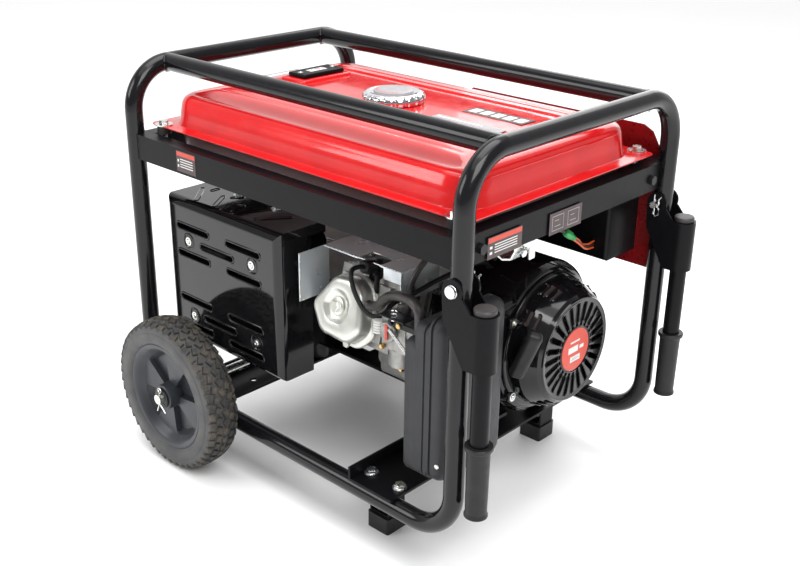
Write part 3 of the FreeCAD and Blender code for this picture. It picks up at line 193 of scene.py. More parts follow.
BLACK_PLASTIC = surface("black_plastic", (0.007, 0.007, 0.008), 0.38, grain=(1400, 0.2),
                        second=(0.012, 0.012, 0.013), shine=0.3)
FOAM = surface("foam", (0.09, 0.09, 0.10), 0.9, grain=(700, 1.0), second=(0.13, 0.13, 0.14))
BLACK_OXIDE = surface("black_oxide", (0.014, 0.014, 0.015), 0.36, metal=0.4, grain=(1200, 0.1))
LABEL_RED = surface("label_red", (0.62, 0.060, 0.035), 0.42, grain=(600, 0.02), second=(0.58, 0.07, 0.045))
LABEL_WHITE = surface("label_white", (0.72, 0.72, 0.70), 0.45, grain=(600, 0.02), second=(0.66, 0.66, 0.64))
LABEL_GREY = surface("label_grey", (0.30, 0.28, 0.29), 0.42, grain=(600, 0.02), second=(0.34, 0.32, 0.33))
LABEL_DARK = surface("label_dark", (0.055, 0.035, 0.035), 0.42, grain=(600, 0.02), second=(0.075, 0.05, 0.05))
GREEN_PLASTIC = surface("green_plastic", (0.02, 0.30, 0.07), 0.4, grain=(900, 0.1))
ORANGE_WIRE = surface("orange_wire", (0.70, 0.10, 0.02), 0.45, grain=(900, 0.1))
FLOOR = surface("floor", (0.95, 0.95, 0.95), 0.9, grain=(40, 0.0), second=(0.96, 0.96, 0.96), patch=2,
                shine=0.1)


# -------- geometry
def sheet_of(mesh, rows, closed=False, material=0, capped=False):
    """Faces between rows of points.  closed joins each row's end to its start."""
    lines = [[mesh.verts.new(point) for point in row] for row in rows]
    count = len(rows[0])
    last = count if closed else count - 1
    for line, following in zip(lines, lines[1:]):
        for column in range(last):
            right = (column + 1) % count
            face = mesh.faces.new((line[column], line[right], following[right], following[column]))
            face.material_index = material
    if capped:
        for line in (lines[0], lines[-1]):
            mesh.faces.new(line).material_index = material
    return lines


def circle(centre, axis, along, radius, count=48):
    """A ring of points round an axis."""
    turn = axis.to_track_quat("Z", "Y")
    step = tau / count
    hub = centre + axis * along
    return [hub + turn @ at(cos(step * n), sin(step * n), 0) * radius for n in range(count)]


def turned(mesh, centre, axis, profile, count=48, material=0, capped=True):
    """A profile of (along, radius) points turned about an axis."""
    rows = [circle(centre, axis, along, radius, count) for along, radius in profile]
    sheet_of(mesh, rows, closed=True, material=material, capped=capped)


def ring_turned(mesh, centre, axis, profile, count=48, material=0):
    """A closed profile turned about an axis, such as a tyre or a washer."""
    turned(mesh, centre, axis, list(profile) + [profile[0]], count, material, capped=False)


def bar(mesh, start, end, radius, chamfer=0.6, count=20, material=0):
    """A round bar between two points, with chamfered ends."""
    start, end = Vector(start), Vector(end)
    length = (end - start).length
    profile = [(0, radius - chamfer), (chamfer, radius), (length - chamfer, radius),
               (length, radius - chamfer)]
    turned(mesh, start, (end - start).normalized(), profile, count, material)


def prism(mesh, outline, depth, material=0):
    """A flat outline of 3-D points, extruded along a vector."""
    low = [mesh.verts.new(point) for point in outline]
    high = [mesh.verts.new(Vector(point) + depth) for point in outline]
    faces = [mesh.faces.new(low), mesh.faces.new(list(reversed(high)))]
    for n in range(len(low)):
        after = (n + 1) % len(low)
        faces.append(mesh.faces.new((low[n], high[n], high[after], low[after])))
    for face in faces:
        face.material_index = material


def block(mesh, low, high, radius=0.0, steps=3, material=0):
    """A box between two corners with rounded edges."""
    low, high = Vector(low), Vector(high)
    made = bmesh.ops.create_cube(mesh, size=1)
    verts = made["verts"]
    for vert in verts:
        vert.co = Vector([low[n] + (vert.co[n] + 0.5) * (high[n] - low[n]) for n in range(3)])
    faces = {face for vert in verts for face in vert.link_faces}
    for face in faces:
        face.material_index = material
    if radius:
        edges = {edge for vert in verts for edge in vert.link_edges}
        bmesh.ops.bevel(mesh, geom=list(edges), offset=radius, segments=steps, profile=0.5, affect="EDGES",
                        material=material)


def hexagon(mesh, centre, axis, width, height, material=0):
    """A hexagon head with a chamfered top, standing along an axis."""
    profile = [(0, width), (height - 1, width), (height, width - 1.2), (height, 0.4)]
    rows = [circle(centre, axis, along, radius, 6) for along, radius in profile]
    sheet_of(mesh, rows, closed=True, material=material, capped=True)


def pan_screw(mesh, centre, axis, radius, material=0):
    """A domed screw head with a cross recess on a washer."""
    ring_turned(mesh, centre, axis, [(0, radius * 0.4), (0, radius * 1.5), (0.9, radius * 1.5),
                                     (1, radius * 0.4)], 28, material)
    dome = [(0.9, radius), (radius * 0.35, radius * 0.97), (radius * 0.6, radius * 0.75),
            (radius * 0.62, radius * 0.4), (radius * 0.3, radius * 0.25)]
    turned(mesh, centre, axis, dome, 20, material)


def stadium(centre, across, up, half_length, half_width):
    """A slot's outline: two straight sides and two round ends."""
    points = []
    for side in (1, -1):
        for n in range(7):
            angle = pi * n / 6 - pi / 2
            reach = half_length - half_width + half_width * cos(angle)
            points.append(centre + across * side * reach + up * side * half_width * sin(angle))
    return points


def pipe(mesh, points, radius, closed=False, count=8, material=0):
    """A thin round tube along points."""
    rows = []
    total = len(points)
    for n, point in enumerate(points):
        before = points[(n - 1) % total] if closed or n else point
        after = points[(n + 1) % total] if closed or n < total - 1 else point
        rows.append(circle(Vector(point), (Vector(after) - Vector(before)).normalized(), 0, radius, count))
    if closed:
        rows.append(rows[0])
    sheet_of(mesh, rows, closed=True, material=material, capped=not closed)


def finish(name, mesh, body, materials, replaces=(), sharp=35):
    """Turns a mesh in millimetres into a piece that rides on a body."""
    bmesh.ops.remove_doubles(mesh, verts=mesh.verts, dist=0.005)
    bmesh.ops.recalc_face_normals(mesh, faces=mesh.faces)
    data = bpy.data.meshes.new(name)
    mesh.to_mesh(data)
    mesh.free()
    data.transform(TO_ROW)
    for polygon in data.polygons:
        polygon.use_smooth = True
    data.set_sharp_from_angle(angle=radians(sharp))
    for material in materials:
        data.materials.append(material)
    obj = bpy.data.objects.new(name, data)
    bpy.context.scene.collection.objects.link(obj)
    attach(obj, body)
    if replaces:
        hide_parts(*replaces)


def paint(node, material):
    """Gives a CAD node its finish."""
    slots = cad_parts[node].data.materials
    slots.clear()
    slots.append(material)


def label(name, body, corner, across, up, width, height, bars, ground=LABEL_DARK, mark=LABEL_WHITE,
          head=None):
    """A thin plate with rows of plain bars where the real one carries print."""
    mesh = bmesh.new()
    out = across.cross(up).normalized()
    corner = Vector(corner)

    def patch(left, low, right, top, lift, material):
        outline = [corner + across * left + up * low, corner + across * right + up * low,
                   corner + across * right + up * top, corner + across * left + up * top]
        prism(mesh, [point + out * 0.05 for point in outline], out * lift, material)

    patch(0, 0, width, height, 0.35, 0)
    top = height
    if head:
        top = height * (1 - head)
        patch(1, top, width - 1, height - 1, 0.5, 2)
    for left, low, right, high in bars:
        patch(width * left, top * low, width * right, top * high, 0.55, 1)
    finish(name, mesh, body, [ground, mark, LABEL_RED])


# -------- fuel tank
SEAM = span("tank_upper_shell")[0].z
TANK_TOP = span("fuel_cap")[1].z - 20
HALF_X, HALF_Y = 306, 193
# each lengthwise pressing: its place across the tank, its half width and its depth
PRESSINGS = [(104, 5, 1.6), (128, 4, 1.2), (-130, 4, 1.2)]


def rounded_plan(half_x, half_y, radius, per_corner=14, per_side=26):
    """Points round a rectangle with round corners, starting at the top of its +X side."""
    points = []
    corners = [(1, 1, 0), (-1, 1, 1), (-1, -1, 2), (1, -1, 3)]
    for sign_x, sign_y, quarter in corners:
        centre = Vector((sign_x * (half_x - radius), sign_y * (half_y - radius)))
        for n in range(per_corner + 1):
            angle = radians(90) * (quarter + n / per_corner)
            points.append(centre + Vector((cos(angle), sin(angle))) * radius)
        after_x, after_y, _ = corners[(quarter + 1) % 4]
        following = Vector((after_x * (half_x - radius), after_y * (half_y - radius)))
        angle = radians(90) * (quarter + 1)
        goal = following + Vector((cos(angle), sin(angle))) * radius
        start = points[-1]
        points += [start.lerp(goal, n / per_side) for n in range(1, per_side)]
    return points


def smooth_step(value, low, high):
    """0 below low, 1 above high and a smooth rise between them."""
    share = max(0.0, min(1.0, (value - low) / (high - low)))
    return share * share * (3 - 2 * share)


def tank_height(x, y):
    """The pressed top: one smooth crown with a broad shoulder and a few shallow lengthwise pressings."""
    edge = min(HALF_X - abs(x), HALF_Y - abs(y))
    plateau = 7 * smooth_step(edge, 20, 60)
    crown = 2.5 * (1 - (y / HALF_Y) ** 2) * smooth_step(HALF_X - abs(x), 20, 120)
    reach = smooth_step(HALF_X - abs(x), 50, 70)
    groove = sum(depth * exp(-((y - line) / width) ** 2) for line, width, depth in PRESSINGS) * reach
    return TANK_TOP - 8 + plateau + crown - groove


def tank_upper():
    """The upper half: a flat seam flange, an upright wall, a round shoulder and the pressed top."""
    mesh = bmesh.new()
    wall = [(21, 20, 12, SEAM), (21, 20, 12, SEAM + 1.6), (4, 4, 44, SEAM + 1.6), (1.2, 1.2, 46, SEAM + 2.6),
            (0, 0, 46, SEAM + 6), (-2.5, -1.4, 45, SEAM + 20), (-6, -3.2, 44, SEAM + 36)]
    rows = []
    for grow_x, grow_y, radius, height in wall:
        plan = rounded_plan(HALF_X + grow_x, HALF_Y + grow_y, radius)
        rows.append([at(*point, height) for point in plan])
    shoulder = 15
    for n in range(1, 9):
        angle = radians(90) * n / 8
        inset = 7.5 + shoulder * (1 - cos(angle))
        plan = rounded_plan(HALF_X - inset, HALF_Y - inset + 3.5, 44 - inset / 2)
        base = TANK_TOP - 7 - shoulder
        rows.append([at(*point, base + shoulder * sin(angle)) for point in plan])
    outer = rounded_plan(HALF_X - 22.5, HALF_Y - 19, 34)
    inner_rows = 56
    for n in range(1, inner_rows):
        share = 1 - n / inner_rows
        rows.append([at(point.x * share, point.y * share, tank_height(point.x * share, point.y * share))
                     for point in outer])
    lines = sheet_of(mesh, rows, closed=True)
    centre = mesh.verts.new((0, 0, tank_height(0, 0)))
    last = lines[-1]
    for n, vert in enumerate(last):
        mesh.faces.new((vert, last[(n + 1) % len(last)], centre))
    mesh.faces.new(lines[0])
    finish("tank_upper", mesh, "frame", [TANK_RED], ["tank_upper_shell"], sharp=50)


def tank_lower():
    """The lower half: under the flange it closes in to a flat bottom with a shallow step."""
    mesh = bmesh.new()
    floor = span("tank_lower_shell")[0].z
    steps = [(4, 44, SEAM - 1.6), (-1, 44, SEAM - 1.8), (-3, 44, SEAM - 8), (-6, 43, floor + 16),
             (-9, 42, floor + 8), (-14, 40, floor + 2.5), (-22, 38, floor), (-60, 30, floor),
             (-66, 30, floor + 3), (-150, 20, floor + 3)]
    rows = [[at(*point, height) for point in rounded_plan(HALF_X + grow, HALF_Y + grow, radius)]
            for grow, radius, height in steps]
    sheet_of(mesh, rows, closed=True, capped=True)
    # The underside wears the darkened red, painted shade in place of the tank's own red.
    finish("tank_lower", mesh, "frame", [TANK_RED_PAINTED_SHADE], ["tank_lower_shell"], sharp=50)


def tank_boss():
    """The raised seat under the gauge and the pressed collar round the filler neck."""
    low, high = span("fuel_gauge")
    mesh = bmesh.new()
    block(mesh, (low.x - 8, low.y - 10, TANK_TOP - 12), (high.x + 8, high.y + 10, high.z - 7.2), 4.5, 4)
    neck = at(*middle("fuel_cap").xy, TANK_TOP - 12)
    turned(mesh, neck, Z, [(0, 76), (4, 72), (7, 62), (8.4, 56), (8.6, 44), (17.5, 31), (17.6, 10)], 64)
    finish("tank_boss", mesh, "frame", [TANK_RED], sharp=40)


def fuel_cap():
    """A bright cap with a scalloped skirt, a rolled rim and a grey disc with a row of red ticks."""
    low, high = span("fuel_cap")
    centre = at(*middle("fuel_cap").xy, 0)
    lobes, count = 16, 128
    profile = [(high.z - 17.6, 46.5, 1), (high.z - 14, 48, 1), (high.z - 9, 47.6, 1),
               (high.z - 5.5, 45.5, 0.7), (high.z - 3.4, 42, 0.2), (high.z - 2.6, 38.5, 0),
               (high.z - 3.4, 36.5, 0), (high.z - 3.6, 31, 0)]
    mesh = bmesh.new()
    rows = []
    for height, radius, depth in profile:
        row = []
        for n in range(count):
            angle = tau * n / count
            scallop = 3.0 * depth * max(0.0, cos(lobes * angle)) ** 3
            row.append(centre + at(cos(angle), sin(angle), 0) * (radius - scallop) + Z * height)
        rows.append(row)
    sheet_of(mesh, rows, closed=True, capped=True)
    turned(mesh, centre, Z, [(low.z, 22), (low.z + 2, 25), (high.z - 17, 25)], 48)
    turned(mesh, centre, Z, [(high.z - 3.7, 30.6), (high.z - 1.0, 30), (high.z - 0.2, 28),
                             (high.z - 0.05, 20)], 64, material=1)
    for n in range(10):
        angle = radians(205 + 13 * n)
        way = at(cos(angle), sin(angle), 0)
        block_low = centre + way * 24 + Z * (high.z - 0.3)
        prism(mesh, [block_low + way.cross(Z) * 1.6, block_low - way.cross(Z) * 1.6,
                     block_low - way.cross(Z) * 1.6 + way * 3,
                     block_low + way.cross(Z) * 1.6 + way * 3], Z * 0.25, 2)
    finish("fuel_cap_bright", mesh, "fuel_cap", [CHROME, LABEL_GREY, LABEL_RED], ["fuel_cap"],
           sharp=40)


def fuel_gauge():
    """A low black case with a window that shows a float needle over a plain scale."""
    low, high = span("fuel_gauge")
    base = high.z - 7
    mesh = bmesh.new()
    block(mesh, (low.x, low.y, base), high, 2.6, 4)
    window_low = at(low.x + 13, low.y + 26, high.z - 0.6)
    window_high = at(high.x - 13, high.y - 26, high.z + 0.15)
    block(mesh, window_low, window_high, 0.4, 2, material=1)
    for n in range(5):
        y = window_low.y + 3 + n * (window_high.y - window_low.y - 6) / 4
        block(mesh, (window_low.x + 2, y - 0.6, high.z), (window_low.x + 7, y + 0.6, high.z + 0.3),
              material=2)
    block(mesh, (window_low.x + 2, window_low.y + 20, high.z),
          (window_high.x - 2, window_low.y + 22, high.z + 0.4), material=3)
    for y in (low.y + 9, high.y - 9):
        pan_screw(mesh, at((low.x + high.x) / 2, y, high.z - 0.4), Z, 3, material=4)
    finish("gauge", mesh, "frame",
           [SATIN_BLACK, LABEL_WHITE, BLACK_PLASTIC, LABEL_RED, ZINC], ["fuel_gauge"], sharp=40)


tank_upper()
tank_lower()
tank_boss()
fuel_cap()
fuel_gauge()


# -------- wheels
def tread_radius(across):
    """The tyre's crown: how far out the tread is at a place across its width."""
    return 124.8 - 4.5 * (abs(across) / 24) ** 2.4


def tyre(side):
    """A tyre with five rows of tread blocks, each turned a little by chance."""
    low, high = span("tyre_" + side)
    centre = (low + high) / 2
    outward = -1 if side == "near" else 1
    half = (high.y - low.y) / 2
    mesh = bmesh.new()
    crown = [(across, tread_radius(across) - 4.2) for across in (24, 18, 12, 6, 0, -6, -12, -18, -24)]
    flank = [(24, 87), (26, 88.5), (half - 0.4, 92), (half, 97), (half, 104), (half - 0.5, 106),
             (half - 1.4, 107), (half - 1.2, 109), (half - 2.4, 114), (25.5, 116.5)]
    profile = [(across * outward, radius) for across, radius in flank]
    profile += [(across * outward, radius) for across, radius in crown]
    profile += [(-across * outward, radius) for across, radius in reversed(flank)]
    ring_turned(mesh, centre, Y, profile, 128)
    blocks = 46
    rows = [(-22.5, 7.0, 0.0, 12), (-12.2, 8.6, 0.5, -24), (0, 8.6, 0.0, 24), (12.2, 8.6, 0.5, -24),
            (22.5, 7.0, 0.0, 12)]
    for across, width, offset, skew in rows:
        for n in range(blocks):
            angle = tau * (n + offset) / blocks
            turn = Quaternion(Y, angle)
            out = turn @ at(0, 0, 1)
            run = turn @ at(1, 0, 0)
            lean = Quaternion(out, radians(skew + chance.uniform(-3, 3)))
            along, sideways = lean @ run, lean @ Y
            length = 11.8 if abs(across) < 20 else 12.6
            corners = []
            for u, v in ((-1, -1), (1, -1), (1, 1), (-1, 1)):
                corners.append((u * length / 2, v * width / 2))
            rings = []
            for lift, shrink in ((-5.2, 1.02), (-0.9, 0.93), (0, 0.80)):
                ring = []
                for u, v in corners:
                    place = centre + along * u * shrink + sideways * v * shrink
                    offset_y = (place - centre).dot(Y) + across
                    flat = place - Y * (place - centre).dot(Y)
                    rise = (tread_radius(offset_y) + lift) ** 2 - (flat - centre).length ** 2
                    reach = sqrt(max(0.0, rise))
                    ring.append(flat + out * reach + Y * offset_y)
                rings.append(ring)
            sheet_of(mesh, rings, closed=True, material=1, capped=True)
    finish("tyre_tread_" + side, mesh, "wheel_" + side, [SIDEWALL_RUBBER, TYRE_RUBBER],
           ["tyre_" + side], sharp=32)


def rim_depth(turn):
    """How deep the web lies under the rim's face: four raised fans between four sunk ones."""
    phase = (turn + 15) % 90
    raised = phase < 22.5 or phase > 67.5
    return 13 if raised else 22


def rim(side):
    """A moulded wheel: a rim, a web with sunk fans on both faces and a long hub."""
    centre = middle("wheel_rim_" + side)
    outward = -1 if side == "near" else 1
    face = 25.0
    mesh = bmesh.new()
    ring = [(face - 13, 69.5), (face - 10, 72.5), (face - 5.5, 76), (face - 1.5, 80), (face, 83.5),
            (face, 86.8), (face - 3, 88), (face - 8, 86), (-face + 8, 86), (-face + 3, 88),
            (-face, 86.8), (-face, 82), (-face + 6, 76), (-face + 13, 69.5)]
    ring_turned(mesh, centre, Y, [(along * outward, radius) for along, radius in ring], 96)
    for direction in (outward, -outward):
        rows = []
        radii = (21, 27, 34, 44, 54, 62, 66.5, 70)
        turns = []
        for quarter in range(4):
            start = 90 * quarter - 15
            for offset in (-21.6, -14, -7, 0, 7, 14, 21.6, 23.4, 30, 38, 45, 52, 60, 66.6):
                turns.append(start + offset)
        for radius in radii:
            row = []
            for turn in turns:
                depth = rim_depth(turn)
                fade = smooth_step(radius, 64, 70) if depth > 13 else 0.0
                blend = depth * (1 - fade) + 13 * fade
                angle = radians(turn)
                place = centre + at(cos(angle), 0, sin(angle)) * radius
                row.append(place + Y * direction * (face - blend))
            rows.append(row)
        sheet_of(mesh, rows, closed=True)
    hub = [(-28.8, 8.1), (-28.8, 19), (-27.6, 20.4), (-10, 21.5), (10, 21.5), (27.6, 20.4), (28.8, 19),
           (28.8, 8.1)]
    ring_turned(mesh, centre, Y, hub, 48)
    finish("wheel_rim_web_" + side, mesh, "wheel_" + side, [RIM_PLASTIC],
           ["wheel_rim_" + side], sharp=28)


def axle_ends():
    """Washers, spacers and split pins with two splayed legs."""
    centre = middle("axle")
    washer_place, spacer_place, pin_place = 317.3, 225.4, 322
    mesh = bmesh.new()
    for side in (-1, 1):
        out = Y * side
        washer = centre + out * washer_place
        ring_turned(mesh, washer, out, [(0, 8.2), (0, 15.4), (0.4, 16), (1.9, 16), (2.3, 15.4),
                                        (2.3, 8.2)], 40, 1)
        ring_turned(mesh, centre + out * spacer_place, out,
                    [(0, 8.2), (0, 13.6), (0.6, 14), (31.4, 14), (32, 13.6), (32, 8.2)], 36)
        pin = centre + out * pin_place
        legs = [[(0, 12), (0, -9), (-3.5, -14), (-8, -24)], [(0, 12), (0, -9), (4, -13), (13, -21)]]
        for leg in legs:
            pipe(mesh, [pin + at(x, out.y * 0.7, z) for x, z in leg], 1.05)
        eye = [pin + at(3.6 * sin(tau * n / 16), 0, 14.5 + 3.6 * cos(tau * n / 16))
               for n in range(16)]
        pipe(mesh, eye, 1.1, closed=True)
    finish("axle_washers_and_pins", mesh, "frame", [ZINC, BLACK_OXIDE], ["axle_fittings"],
           sharp=40)


for side in ("near", "far"):
    tyre(side)
    rim(side)
axle_ends()


# -------- tube frame, rails and feet
def weld_beads():
    """Rippled beads where the upper long rails meet the hoops."""
    hoop_high = span("hoop_handle_end")[1]
    tube, rail_y = 14, 165.8
    bead = tube + 0.4
    top = hoop_high.z - tube
    mesh = bmesh.new()
    for end in (-1, 1):
        x = end * (hoop_high.x - tube)
        for side in (-1, 1):
            rows = []
            for n in range(49):
                angle = tau * n / 48
                y = side * rail_y + bead * cos(angle)
                z = min(top + bead * sin(angle), hoop_high.z - 2.8)
                inward = sqrt(max(0.0, bead ** 2 - (z - top) ** 2))
                rows.append(circle(at(x - end * inward, y, z), at(0, -sin(angle), cos(angle)), 0,
                                   2.3 + 0.5 * sin(angle * 20), 8))
            sheet_of(mesh, rows, closed=True)
    finish("weld_beads", mesh, "frame", [FRAME_BLACK], sharp=60)


def plate_bolt_caps():
    """Bright flanged heads over the bolts that hold the handle-end plate to the low rails."""
    plate_top = 102.2
    mesh = bmesh.new()
    for side in (-1, 1):
        for x in (166, 222):
            spot = at(x, side * 214, plate_top)
            ring_turned(mesh, spot, Z, [(0.02, 4.6), (0.02, 10.6), (1, 10.8), (1.8, 9), (1.8, 4.6)], 32)
            hexagon(mesh, spot, Z, 8.3, 6.6)
    finish("plate_bolt_caps", mesh, "frame", [ZINC])


weld_beads()
plate_bolt_caps()


# -------- small shapes that the engine pieces share
def lip(mesh, centre, across, up, half_length, half_width, rim=4, height=1.2, sink=2.4):
    """A rolled lip round a slot, standing off the sheet that across and up lie in."""
    out = across.cross(up).normalized()
    steps = [(rim, -0.3), (rim - 0.8, height * 0.6), (rim * 0.45, height), (0.6, height * 0.7), (0, 0),
             (0, -sink)]
    rows = [[point + out * lift for point in stadium(centre, across, up, half_length + grow,
                                                     half_width + grow)] for grow, lift in steps]
    sheet_of(mesh, rows + [rows[0]], closed=True)


def rounded_outline(corners, radius):
    """Flat corners with each one turned into a short round."""
    points = []
    for n, corner in enumerate(corners):
        here = Vector(corner)
        before = Vector(corners[n - 1])
        after = Vector(corners[(n + 1) % len(corners)])
        start = here + (before - here).normalized() * radius
        goal = here + (after - here).normalized() * radius
        for step in range(7):
            share = step / 6
            points.append(start.lerp(here, share).lerp(here.lerp(goal, share), share))
    return points


def loft_along_x(mesh, sections, low, high, radius):
    """A rounded box lofted along X through (x, inset) sections."""
    rows = []
    middle_y, middle_z = (low.y + high.y) / 2, (low.z + high.z) / 2
    half_y, half_z = (high.y - low.y) / 2, (high.z - low.z) / 2
    for x, inset in sections:
        plan = rounded_plan(half_y - inset, half_z - inset, radius - inset * 0.6, 8, 4)
        rows.append([at(x, middle_y + point.x, middle_z + point.y) for point in plan])
    sheet_of(mesh, rows, closed=True, capped=True)


def cord_curve(name, routes, body, material, replaces):
    """Rubber lines as smooth curves, each route with its radius and its swelling at the far end."""
    curve = bpy.data.curves.new(name, "CURVE")
    curve.dimensions = "3D"
    thickest = max(radius for _, radius, _ in routes)
    curve.bevel_depth = thickest * MM
    curve.bevel_resolution = 6
    curve.resolution_u = 10
    curve.use_fill_caps = True
    for points, radius, swell in routes:
        spline = curve.splines.new("NURBS")
        spline.points.add(len(points) - 1)
        for number, (spot, place) in enumerate(zip(spline.points, points)):
            spot.co = (*(TO_ROW @ Vector(place)), 1)
            spot.radius = radius / thickest * (1 + swell * smooth_step(number, 2, len(points) - 2))
        spline.order_u = 3
        spline.use_endpoint_u = True
    curve.materials.append(material)
    obj = bpy.data.objects.new(name, curve)
    bpy.context.scene.collection.objects.link(obj)
    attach(obj, body)
    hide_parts(*replaces)


# -------- muffler guard
def guard_details():
    """Rolled lips round the louvres, raised lines on the top, and screws in round dimples."""
    low, high = span("muffler_guard")
    face = low.y
    middle_x = (low.x + high.x) / 2 - 10
    mesh = bmesh.new()
    for middle_z in (345, 221):
        for offset_x, offset_z in ((-59, 23), (-59, -23), (0, 0), (64, 23), (64, -23)):
            centre = at(middle_x + offset_x, face, middle_z + offset_z)
            lip(mesh, centre, X, Z, 40, 4.2)
    for x, z in ((-247, 346), (-92, 349), (-243, 217), (-87, 221)):
        spot = at(x, face, z)
        ring_turned(mesh, spot, -Y, [(-0.4, 15), (0.9, 12.6), (1.0, 11.4), (-0.6, 9.4), (-0.8, 9.4)], 40)
        pan_screw(mesh, spot - Y * 0.3, -Y, 4.6, material=1)
    top = high.z
    lines = [((-241, -196), (-283, -150)), ((-198, -194), (-227, -152)), ((-149, -195), (-125, -139)),
             ((-108, -189), (-75, -142)), ((-176, -196), (-190, -168)), ((-167, -160), (-190, -168)),
             ((-167, -160), (-158, -190)), ((-262, -150), (-262, -134)), ((-212, -150), (-200, -134))]
    for start, end in lines:
        start, end = at(*start, top), at(*end, top)
        along = (end - start).normalized()
        lip(mesh, (start + end) / 2, along, Z.cross(along), (end - start).length / 2, 2.6, rim=2.4,
            height=1.0, sink=0.2)
    for x, y in ((-212, -132), (-120, -132)):
        hexagon(mesh, at(x, y, top), Z, 6, 5, material=1)
        ring_turned(mesh, at(x, y, top), Z, [(0, 3), (0, 10), (1.2, 10), (1.4, 3)], 24, 1)
    finish("guard_lips_and_screws", mesh, "frame", [GLOSS_BLACK, ZINC], sharp=40)


# -------- cylinder head
CYLINDER = 82
CRANK = at(0, 60, 256)
TILT = radians(16)


def on_head(x, y, z):
    """A point drawn with the cylinder level along -Y, tipped up about the crank axis."""
    return Vector((CYLINDER + x, CRANK.y + y * cos(TILT) + z * sin(TILT),
                   CRANK.z - y * sin(TILT) + z * cos(TILT)))


HEAD_OUT = (on_head(0, -1, 0) - on_head(0, 0, 0)).normalized()
HEAD_UP = (on_head(0, 0, 1) - on_head(0, 0, 0)).normalized()
LID = [(-72, -12), (-34, 42), (4, 45), (27, 26), (34, -30), (12, -52), (-44, -50)]


def rocker_lid():
    """A pressed lid with rolled shoulders on a wider flange, and a round dish round its bolt."""
    mesh = bmesh.new()
    flange = rounded_outline([(x * 1.1 + 2, z * 1.12 - 2) for x, z in LID], 12)
    lid = rounded_outline(LID, 12)
    middle = Vector((-18, -3))
    dish = []
    for x, z in lid:
        way = (Vector((x, z)) - middle).normalized()
        dish.append(way)
    levels = [(flange, 0, 220.1), (flange, 0, 223.6), (flange, 1.2, 225), (lid, -3.4, 225.4),
              (lid, -0.6, 228), (lid, 0, 233), (lid, 0.4, 243), (lid, 2.0, 248.8), (lid, 5.5, 252),
              (lid, 10, 253)]
    rows = []
    for outline, inset, level in levels:
        row = []
        for x, z in outline:
            point = Vector((x, z))
            point += (middle - point).normalized() * inset
            row.append(on_head(point.x, -level, point.y))
        rows.append(row)
    for radius, level in ((27, 253), (25, 252.2), (21, 248), (15, 246.8), (9, 246.9)):
        rows.append([on_head(middle.x + way.x * radius, -level, middle.y + way.y * radius) for way in dish])
    sheet_of(mesh, rows, closed=True, capped=True)
    bolt = on_head(-20, -247, -3)
    ring_turned(mesh, bolt, HEAD_OUT, [(0, 6), (0, 12.5), (0.8, 13.2), (1.8, 13.2), (2.2, 12.4),
                                       (2.2, 6)], 40)
    hexagon(mesh, bolt, HEAD_OUT, 8.6, 8.6)
    pipe_start = on_head(16, -240, 14)
    bar(mesh, pipe_start, pipe_start + X * 22, 3.9)
    for x, z in ((-62, -34), (42, -4), (-8, -59)):
        hexagon(mesh, on_head(x * 0.98, -224.6, z * 0.98), HEAD_OUT, 6, 4.6)
    finish("rocker_lid", mesh, "frame", [ROCKER_SILVER], ["rocker_cover"], sharp=38)


def plug_boot():
    """A ribbed rubber boot that bends on to the spark plug, with a thin dark rod beside it."""
    mesh = bmesh.new()
    body = on_head(6, -204, 42.1)
    turned(mesh, body, HEAD_UP, [(0, 8.4), (1, 9), (18, 9), (21, 8)], 32)
    start = on_head(6, -192, 63)
    profile = [(0, 9.5), (2, 11.6)]
    for n in range(4):
        profile += [(5 + n * 5, 11.9), (6.2 + n * 5, 10.7), (8 + n * 5, 10.7), (9.2 + n * 5, 11.9)]
    profile += [(30, 11.9), (40, 10.8), (46, 9.4), (48, 7)]
    turned(mesh, start, HEAD_OUT, profile, 36)
    block(mesh, on_head(6, -200, 60) - at(18, 14, 12), on_head(6, -200, 60) + at(16, 12, 14), 5)
    bar(mesh, on_head(20, -222, 54), on_head(30, -222, 2), 3.4, material=1)
    bar(mesh, on_head(-10, -214, 60), on_head(20, -222, 56), 4.4, material=0)
    finish("ribbed_plug_boot", mesh, "frame", [GRIP_RUBBER, BLACK_OXIDE], ["spark_plug_cap"])


def cowl_edges():
    """Folded edges and seams on the bright cylinder cowl, with its screws."""
    low, high = span("cylinder_cowl")
    mesh = bmesh.new()
    for y in (low.y + 52, high.y - 1):
        pipe(mesh, [at(low.x + 2, y, high.z - 0.4), at(high.x - 1, y, high.z - 0.4)], 1.1)
    pipe(mesh, [at(high.x - 0.6, low.y + 52, high.z - 0.6), at(high.x - 0.6, high.y, high.z - 0.6)], 1.2)
    pipe(mesh, [at(high.x - 0.6, low.y + 52, high.z - 2), at(high.x - 0.6, low.y + 52, high.z - 44)], 1.1)
    pipe(mesh, [at(low.x + 0.8, low.y + 1, high.z - 70), at(low.x + 0.8, low.y + 1, high.z - 2)], 1.1)
    for y in (-120, -84):
        hexagon(mesh, at(high.x, y, 358), X, 5.4, 4.5)
    finish("cowl_edges", mesh, "frame", [ZINC], sharp=40)


